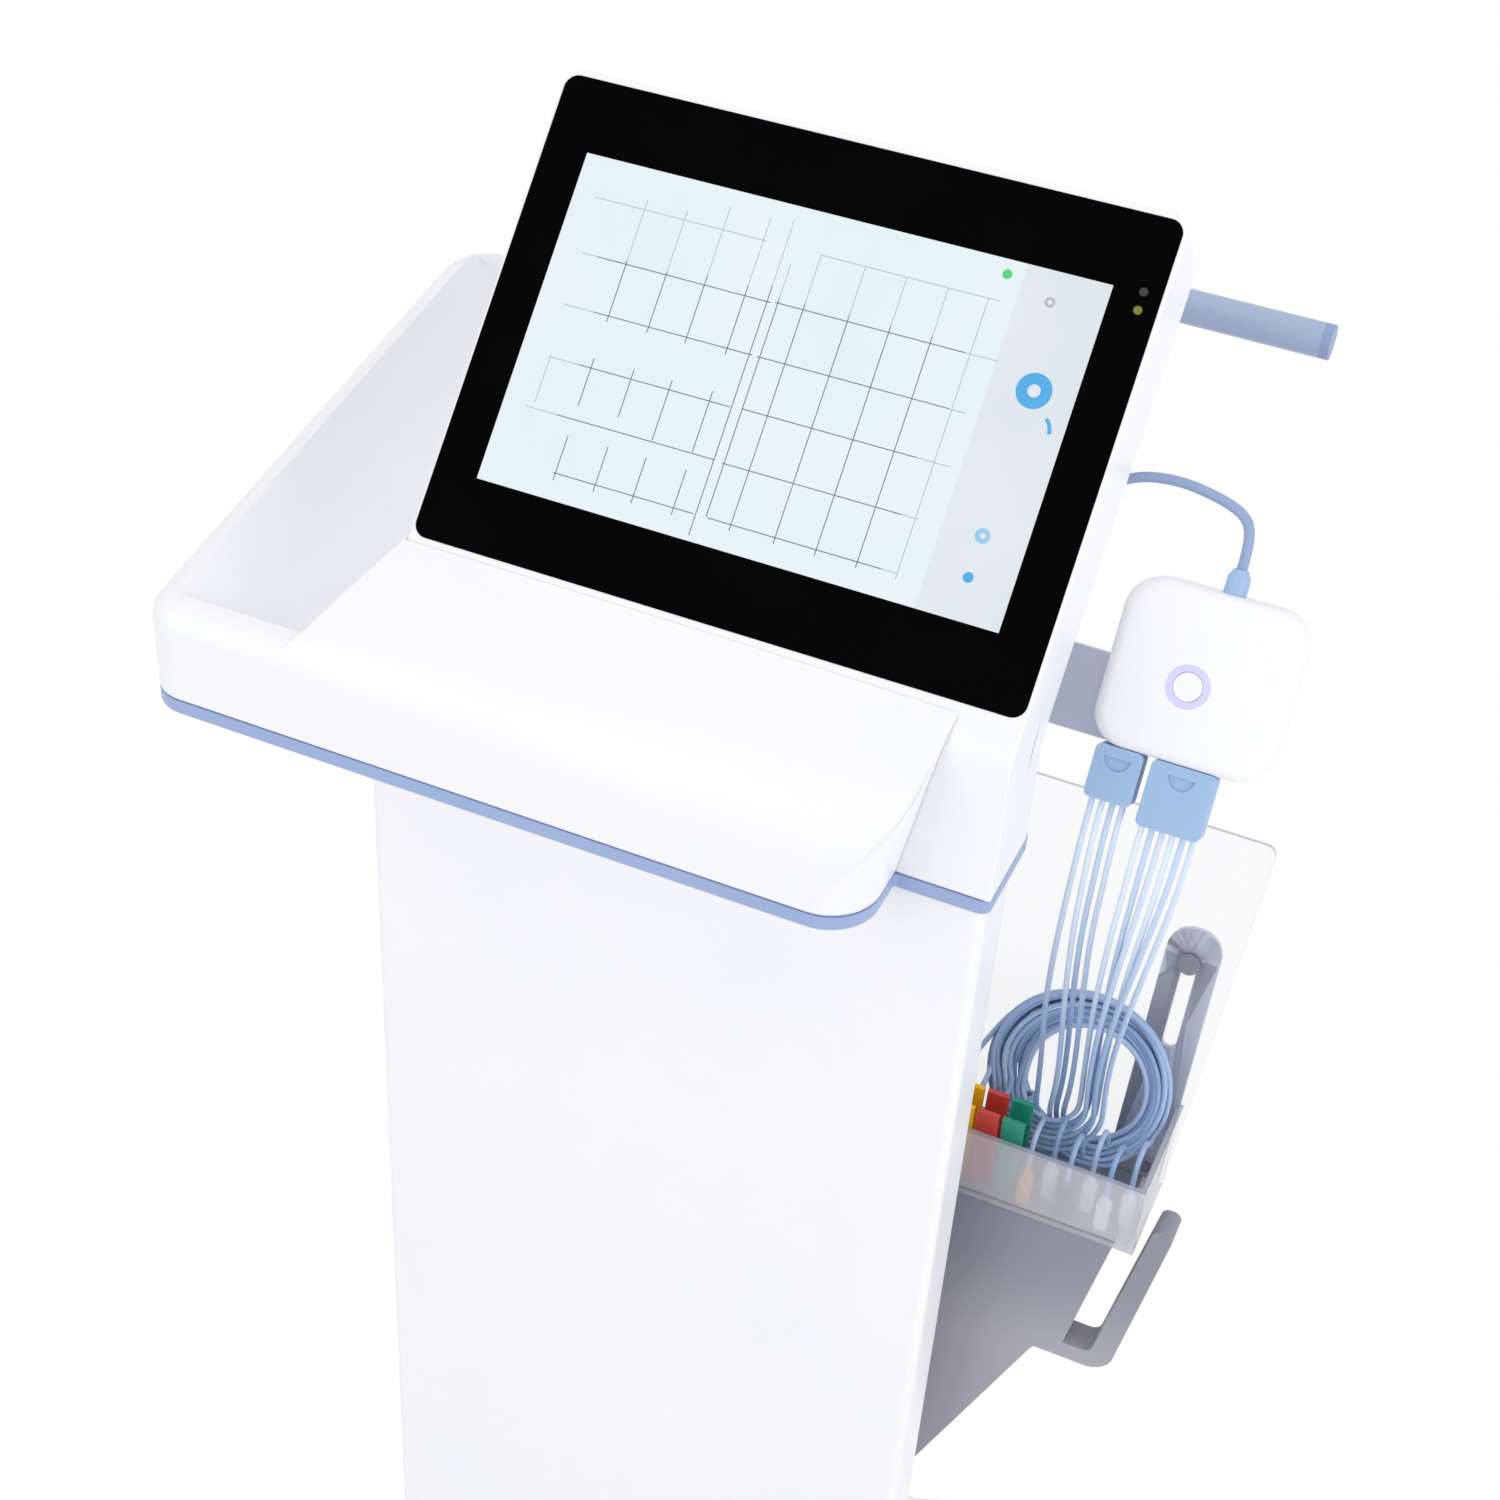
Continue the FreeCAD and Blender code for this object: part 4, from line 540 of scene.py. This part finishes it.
# %% Round the ramp's right edge
edge_radius = 0.005
edge_starts_x, edge_full_x = 0.090, 0.120
edge_ends_z, edge_full_z = 0.990, 0.975
tree = finishes["shelf_plastic"].node_tree
link = tree.links.new
where = place_node(tree, "ShaderNodeNewGeometry")
spot = place_node(tree, "ShaderNodeSeparateXYZ")
rightwards = place_node(tree, "ShaderNodeMapRange", {"From Min": edge_starts_x, "From Max": edge_full_x})
rightwards.inputs["To Max"].default_value = edge_radius
below_glass = place_node(tree, "ShaderNodeMapRange", {"From Min": edge_ends_z, "From Max": edge_full_z})
radius = place_node(tree, "ShaderNodeMath", operation="MULTIPLY")
rounding = place_node(tree, "ShaderNodeBevel", samples=8)
link(where.outputs["Position"], spot.inputs["Vector"])
link(spot.outputs["X"], rightwards.inputs["Value"])
link(spot.outputs["Z"], below_glass.inputs["Value"])
link(rightwards.outputs["Result"], radius.inputs[0])
link(below_glass.outputs["Result"], radius.inputs[1])
link(radius.outputs["Value"], rounding.inputs["Radius"])
grain_bump = tree.nodes["Principled BSDF"].inputs["Normal"].links[0].from_node
link(rounding.outputs["Normal"], grain_bump.inputs["Normal"])
print("rounded edge on", finishes["shelf_plastic"].name)

# %% [markdown]
# ## Lead jackets
# The jackets are soft rubber with a dull sheen. The leads aren't dyed in one batch, so three close
# blues go round the ten leads, which also keeps single strands apart by eye in the coil. Towards the
# plugs, where they hang in the light, the leads are painted paler: painted light that grows with height.

# %% Jackets for the cords
jackets = []
for name, colour, towards, pale in (
    ("lead_jacket_mid", (160, 187, 223), (150, 177, 215), (214, 228, 247)),
    ("lead_jacket_pale", (176, 200, 231), (165, 190, 223), (226, 237, 251)),
    ("lead_jacket_deep", (146, 174, 213), (136, 165, 206), (200, 218, 242)),
):
    # Painted light: each lead is painted paler towards the plugs.
    jacket = surface_finish(
        name, colour, towards, 0.44, 0.58, grain=1600.0, patches=30.0, fade=(pale, 0.74, 0.92),
    )
    jacket.inputs["Sheen Weight"].default_value = 0.15
    jackets.append(finishes[name])
for i, lead in enumerate(limb_leads + chest_leads):
    lead.data.materials.append(jackets[i % len(jackets)])
surface_finish("cable_jacket", (150, 170, 206), (139, 160, 197), 0.44, 0.58, grain=1600.0, patches=30.0)
module_cord.data.materials.append(finishes["cable_jacket"])
print("jackets:", [m.name for m in jackets], finishes["cable_jacket"].name)

# %% [markdown]
# ## Clear board and tray
# These are sheets of clear acrylic. Glass with full transmission would be right for a thick block,
# but on thin sheets it costs many samples and darkens what is behind. Here the sheet is see-through
# by its alpha, which rises towards glancing angles, and its cut edges, which gather light, get a
# denser finish of their own. Only the material index of those faces changes, not the mesh.

# %% Clear sheets and their edges
def clear_finish(name, colour, face_on, glancing):
    """A see-through sheet, with its alpha where it is seen face on and at a glancing angle."""
    shader = surface_finish(name, colour, colour, 0.08, 0.14, grain=40.0, depth=0.00001, drift=0.0)
    tree = finishes[name].node_tree
    angle = place_node(tree, "ShaderNodeLayerWeight", {"Blend": 0.3})
    see = place_node(tree, "ShaderNodeMapRange", {"To Min": face_on, "To Max": glancing})
    tree.links.new(angle.outputs["Facing"], see.inputs["Value"])
    tree.links.new(see.outputs["Result"], shader.inputs["Alpha"])


clear_finish("clear_plastic", (240, 242, 247), 0.06, 0.45)
clear_finish("clear_tray", (230, 230, 238), 0.28, 0.62)
clear_finish("clear_edge", (168, 173, 187), 0.60, 0.88)
flat_share = 0.9


def finish_cut_edges(piece, sheet, directions):
    """Finish a clear piece, and count the edge faces: those that face along none of its directions."""
    piece.data.materials.clear()
    piece.data.materials.append(finishes[sheet])
    piece.data.materials.append(finishes["clear_edge"])
    count = 0
    for face in piece.data.polygons:
        if max(abs(face.normal.dot(direction)) for direction in directions) < flat_share:
            face.material_index = 1
            count += 1
    return count


board_edges = finish_cut_edges(nodes["lead_board"], "clear_plastic", [coil_out])
tray_walls = [Vector((1, 0, 0)), Vector((0, 1, 0)), -coil_out]
tray_edges = finish_cut_edges(nodes["lead_tray"], "clear_tray", tray_walls)
print("edge faces:", board_edges, "on the board,", tray_edges, "on the tray")

# %% [markdown]
# ## Chest clips
# Most of the clips are white, but the photograph shows one yellow and one dark clip through the tray.
# All six are one CAD piece, so the faces of a clip are told by where they are along the row.

# %% Colours of the clips
clips = nodes["chest_clips"]
clips.data.materials.clear()
for name in ("clip_white", "clamp_yellow", "clamp_black"):
    clips.data.materials.append(finishes[name])
yellow_clip, dark_clip = 0, 2
for face in clips.data.polygons:
    place = round(((clips.matrix_world @ face.center).x - first_neck_x) / neck_pitch)
    face.material_index = {yellow_clip: 1, dark_clip: 2}.get(place, 0)
print("coloured clip faces:", sum(face.material_index > 0 for face in clips.data.polygons))

# %% [markdown]
# ## Touch glass and lights
# The glass is printed black from behind and has an anti-glare coat, so it mirrors little: its
# specular level is low, and faint smears change only its roughness. The status lights and the ring
# round the module's button are small diffusers that glow.

# %% Glass, ring and status lights
glass = surface_finish(
    "black_glass", (4, 4, 5), (8, 7, 8), 0.10, 0.22, grain=60.0, depth=0.000002, patches=12.0,
)
glass.inputs["Specular IOR Level"].default_value = 0.012
body_shade = 0.92
glow_drift = 0.7


def glowing_finish(name, body, colour, towards, strength, patches):
    """A surface of one colour that gives out light of another, which drifts a little from place to place."""
    shader = surface_finish(name, body, tuple(c * body_shade for c in body), 0.30, 0.45)
    tree = finishes[name].node_tree
    glow = place_effect(
        tree, tone_effect,
        Colour=linear(*colour), Towards=linear(*towards), Patches=patches, Amount=glow_drift,
    )
    tree.links.new(glow.outputs["Colour"], shader.inputs["Emission Color"])
    shader.inputs["Emission Strength"].default_value = strength


glowing_finish("ring_light", (196, 195, 240), (186, 184, 240), (174, 172, 236), 0.30, 90.0)
glowing_finish("status_light", (96, 92, 18), (120, 122, 20), (100, 98, 24), 0.45, 300.0)
surface_finish("status_unlit", (40, 38, 28), (48, 46, 34), 0.30, 0.45, patches=300.0)
lamps_mesh = nodes["status_lights"].data
lamps_mesh.materials.clear()
lamps_mesh.materials.append(finishes["status_light"])
lamps_mesh.materials.append(finishes["status_unlit"])
heights = [face.center.z for face in lamps_mesh.polygons]
halfway = (min(heights) + max(heights)) / 2
for face in lamps_mesh.polygons:
    face.material_index = 1 if face.center.z > halfway else 0
unlit = sum(face.material_index for face in lamps_mesh.polygons)
print("status light faces:", len(heights), "of which unlit:", unlit)

# %% [markdown]
# ## The lit picture
# The display shows a pale sheet with ruled rows and columns and a few round buttons at the right. An
# image texture would do it in one step, but it would be a picture of something else. So the picture
# is drawn as a thin mesh on the glass: two pale sheets, strips for the rules, discs and rings for the
# buttons. Drawn shapes stay sharp at any distance.

# %% Finishes of the picture
dark_panel = (10, 11, 12)
for name, colour, towards, patches in (
    ("picture_pale", (227, 239, 244), (219, 233, 238), 9.0),
    ("picture_side", (222, 229, 236), (212, 221, 229), 9.0),
    ("picture_rule", (94, 106, 112), (118, 130, 135), 60.0),
    ("picture_faint_rule", (184, 197, 203), (172, 186, 192), 60.0),
    ("picture_green", (70, 205, 105), (90, 214, 126), 60.0),
    ("picture_blue", (66, 166, 226), (80, 172, 228), 60.0),
    ("picture_pale_blue", (142, 198, 232), (156, 205, 234), 60.0),
    ("picture_grey", (176, 182, 188), (188, 194, 199), 60.0),
):
    glowing_finish(name, dark_panel, colour, towards, 1.0, patches)
picture_parts = [name for name in finishes if name.startswith("picture_")]
print("picture finishes:", len(picture_parts))

# %% Draw the picture
screen_lean = math.radians(42.5)
screen_up = Vector((0.0, math.sin(screen_lean), math.cos(screen_lean)))
screen_out = Vector((0.0, -math.cos(screen_lean), math.sin(screen_lean)))
picture_width = 0.2611
picture_height = 0.1632
screen_foot = Vector((0.011, -0.127, 0.9896))
picture_above_foot = 0.0548
picture_off_glass = 0.00045
picture_corner = screen_foot - Vector((picture_width / 2, 0.0, 0.0))
picture_corner += screen_up * picture_above_foot + screen_out * picture_off_glass
rule_width = 0.5
rule_lift = 0.06
rule_piece = 8.0
faint_left, faint_left_lean, faint_right, faint_top = 34.0, 0.08, 204.0, 121.0
ring_sides = 40
disc_hole = 0.0001
bow_width = 1.8
drawing = bmesh.new()


def on_picture(x, y, lift):
    """A place on the picture in millimetres from its lower left corner."""
    return picture_corner + Vector((x / 1000, 0, 0)) + screen_up * (y / 1000) + screen_out * (lift / 1000)


def draw_shape(places, lift, part):
    """One flat face through places in millimetres, with the finish of a part of the picture."""
    face = drawing.faces.new([drawing.verts.new(on_picture(x, y, lift)) for x, y in places])
    face.material_index = picture_parts.index(part)


def draw_box(x0, y0, x1, y1, lift, part):
    draw_shape([(x0, y0), (x1, y0), (x1, y1), (x0, y1)], lift, part)


def draw_strip(x0, y0, x1, y1, width, part):
    along = Vector((x1 - x0, y1 - y0)).normalized()
    aside = Vector((-along.y, along.x)) * width / 2
    start, end = Vector((x0, y0)), Vector((x1, y1))
    draw_shape([start - aside, end - aside, end + aside, start + aside], rule_lift, part)


def draw_rule(x0, y0, x1, y1):
    """A thin rule, drawn fainter where the picture fades at its top and at its left and right ends."""
    start, end = Vector((x0, y0)), Vector((x1, y1))
    count = max(1, round((end - start).length / rule_piece))
    for i in range(count):
        a, b = start.lerp(end, i / count), start.lerp(end, (i + 1) / count)
        middle = (a + b) / 2
        faint = middle.x < faint_left - middle.y * faint_left_lean
        faint = faint or middle.x > faint_right or middle.y > faint_top
        draw_strip(a.x, a.y, b.x, b.y, rule_width, "picture_faint_rule" if faint else "picture_rule")


def draw_ring(x, y, outer, inner, part):
    turns = [math.tau * i / ring_sides for i in range(ring_sides + 1)]
    for a, b in zip(turns, turns[1:]):
        corners = ((outer, a), (outer, b), (inner, b), (inner, a))
        draw_shape([(r * math.cos(t) + x, r * math.sin(t) + y) for r, t in corners], rule_lift, part)


side_from = 221.0
draw_box(0.0, 0.0, side_from, picture_height * 1000, 0.0, "picture_pale")
draw_box(side_from, 0.0, picture_width * 1000, picture_height * 1000, 0.0, "picture_side")
for y, left, right in (
    (143.6, 11.0, 99.5), (116.4, 14.0, 111.0), (90.6, 13.0, 110.5),
    (64.8, 15.0, 108.5), (39.3, 12.0, 109.5), (12.7, 36.0, 108.0),
    (143.6, 126.5, 214.0), (117.0, 113.0, 222.0), (90.6, 113.0, 215.5),
    (65.4, 114.0, 216.0), (38.8, 113.5, 210.0), (12.7, 115.0, 209.0),
):
    draw_rule(left, y, right, y)
for x in (127.0, 149.0, 169.3, 189.4, 208.7):
    draw_rule(x, 9.8, x, 143.6)
for x in (37.0, 57.8, 77.4, 98.0):
    draw_rule(x, 87.6, x, 155.0 if x > 70 else 148.4)
    draw_rule(x, 46.0 if x < 70 else 40.0, x, 69.6)
    draw_rule(x, 9.2, x, 31.4)
draw_rule(15.6, 42.0, 15.6, 66.0)
draw_rule(109.2, 2.6, 109.2, 156.5)
draw_rule(114.4, 13.0, 114.4, 136.0)
draw_ring(213.4, 156.3, 2.3, disc_hole, "picture_green")
draw_ring(236.1, 148.7, 2.5, 1.1, "picture_grey")
draw_ring(241.9, 108.3, 8.3, 3.0, "picture_blue")
draw_ring(240.4, 39.6, 3.6, 1.3, "picture_pale_blue")
draw_ring(240.1, 20.0, 2.5, disc_hole, "picture_blue")
bow = ((251.2, 97.6), (252.8, 96.2), (254.0, 93.8), (254.6, 91.2))
for (x0, y0), (x1, y1) in zip(bow, bow[1:]):
    draw_strip(x0, y0, x1, y1, bow_width, "picture_blue")

picture_mesh = bpy.data.meshes.new("screen_picture")
drawing.to_mesh(picture_mesh)
drawing.free()
for part in picture_parts:
    picture_mesh.materials.append(finishes[part])
screen_picture = bpy.data.objects.new("screen_picture", picture_mesh)
bpy.context.scene.collection.objects.link(screen_picture)
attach(screen_picture, "cart")
print("picture:", len(picture_mesh.polygons), "faces")

# %% [markdown]
# ## Finishes on the CAD pieces
# Each CAD piece has a slot in the record, so the finish with the slot's name replaces the plain colour
# that came with the model. The shelf has a finish of its own, and so have the pieces done above.

# %% Put the finishes on
glowing_finish("display", dark_panel, (224, 236, 241), (215, 229, 234), 0.5, 9.0)
slot_of = {part["node"]: part["material_slot"] for part in frame["record"]["subparts"]}
for name, piece in nodes.items():
    if name in ("lead_board", "lead_tray", "chest_clips", "status_lights"):
        continue
    finish = "lead_jacket_mid" if slot_of[name] == "lead_blue" else slot_of[name]
    if name == "shelf":
        finish = "shelf_plastic"
    piece.data.materials.clear()
    piece.data.materials.append(finishes[finish])
print("finished CAD pieces:", len(nodes))

# %% [markdown]
# ## Stage and light
# The photograph has a plain white ground and soft light from all round, a little stronger from the
# front left and the right. White comes from the floor and the world as the camera sees them, not from
# more light on the machine: a Light Path node shows plain white to the camera, and the lamps stay at a
# level where a colour looks as it was written. The floor keeps a trace of soft shadow.

# %% Floor
def shown_rays(tree):
    """A socket that is 1 for rays that show a surface to the camera, also mirrored or through a sheet."""
    path = place_node(tree, "ShaderNodeLightPath")
    seen = place_node(tree, "ShaderNodeMath", operation="MAXIMUM")
    shown = place_node(tree, "ShaderNodeMath", operation="MAXIMUM")
    tree.links.new(path.outputs["Is Camera Ray"], seen.inputs[0])
    tree.links.new(path.outputs["Is Glossy Ray"], seen.inputs[1])
    tree.links.new(seen.outputs["Value"], shown.inputs[0])
    tree.links.new(path.outputs["Is Transmission Ray"], shown.inputs[1])
    return shown.outputs["Value"]


floor_reach = 20.0
floor_white_share = 0.985
floor_colour = (0.88, 0.88, 0.89, 1.0)
floor_corners = [(-1, -1), (1, -1), (1, 1), (-1, 1)]
floor_mesh = bpy.data.meshes.new("floor")
floor_mesh.from_pydata([(x * floor_reach, y * floor_reach, 0) for x, y in floor_corners], [], [(0, 1, 2, 3)])
floor = bpy.data.objects.new("floor", floor_mesh)
bpy.context.scene.collection.objects.link(floor)
floor_finish = bpy.data.materials.new("floor_white")
floor_finish.use_nodes = True
tree = floor_finish.node_tree
link = tree.links.new
ground = tree.nodes["Principled BSDF"]
ground.inputs["Base Color"].default_value = floor_colour
ground.inputs["Roughness"].default_value = 0.9
ground.inputs["Specular IOR Level"].default_value = 0.0
white = place_node(tree, "ShaderNodeEmission", {"Color": (1, 1, 1, 1), "Strength": 1.0})
share = place_node(tree, "ShaderNodeMath", operation="MULTIPLY")
share.inputs[1].default_value = floor_white_share
both = place_node(tree, "ShaderNodeMixShader")
link(shown_rays(tree), share.inputs[0])
link(share.outputs["Value"], both.inputs["Fac"])
link(ground.outputs["BSDF"], both.inputs[1])
link(white.outputs["Emission"], both.inputs[2])
link(both.outputs["Shader"], tree.nodes["Material Output"].inputs["Surface"])
floor.data.materials.append(floor_finish)
print("floor at z 0")

# %% World and lamps
world_strength = 0.78
world_colour = (0.985, 0.988, 1.0, 1.0)
world = bpy.data.worlds.new("soft_studio")
bpy.context.scene.world = world
world.use_nodes = True
tree = world.node_tree
link = tree.links.new
around = tree.nodes["Background"]
around.inputs["Color"].default_value = world_colour
around.inputs["Strength"].default_value = world_strength
backdrop = place_node(tree, "ShaderNodeBackground", {"Color": (1, 1, 1, 1), "Strength": 1.0})
both = place_node(tree, "ShaderNodeMixShader")
link(shown_rays(tree), both.inputs["Fac"])
link(around.outputs["Background"], both.inputs[1])
link(backdrop.outputs["Background"], both.inputs[2])
link(both.outputs["Shader"], tree.nodes["World Output"].inputs["Surface"])


def hang_lamp(name, place, aim, size, power):
    """A square lamp of a size in metres and a power in watts, turned towards a place."""
    lamp = bpy.data.lights.new(name, "AREA")
    lamp.shape = "SQUARE"
    lamp.size = size
    lamp.energy = power
    piece = bpy.data.objects.new(name, lamp)
    bpy.context.scene.collection.objects.link(piece)
    piece.location = place
    piece.rotation_euler = (Vector(aim) - Vector(place)).to_track_quat("-Z", "Y").to_euler()
    return power


powers = [
    hang_lamp("front_left_lamp", (-1.6, -3.0, 1.9), (0.0, 0.0, 0.75), 2.4, 24.0),
    hang_lamp("overhead_lamp", (0.0, 0.4, 3.4), (0.0, 0.0, 0.9), 2.6, 9.0),
    hang_lamp("right_lamp", (3.0, -1.0, 1.7), (0.0, 0.0, 0.8), 2.0, 28.0),
]
bpy.context.scene.view_settings.view_transform = "Standard"
print("lamps of", powers, "watts")
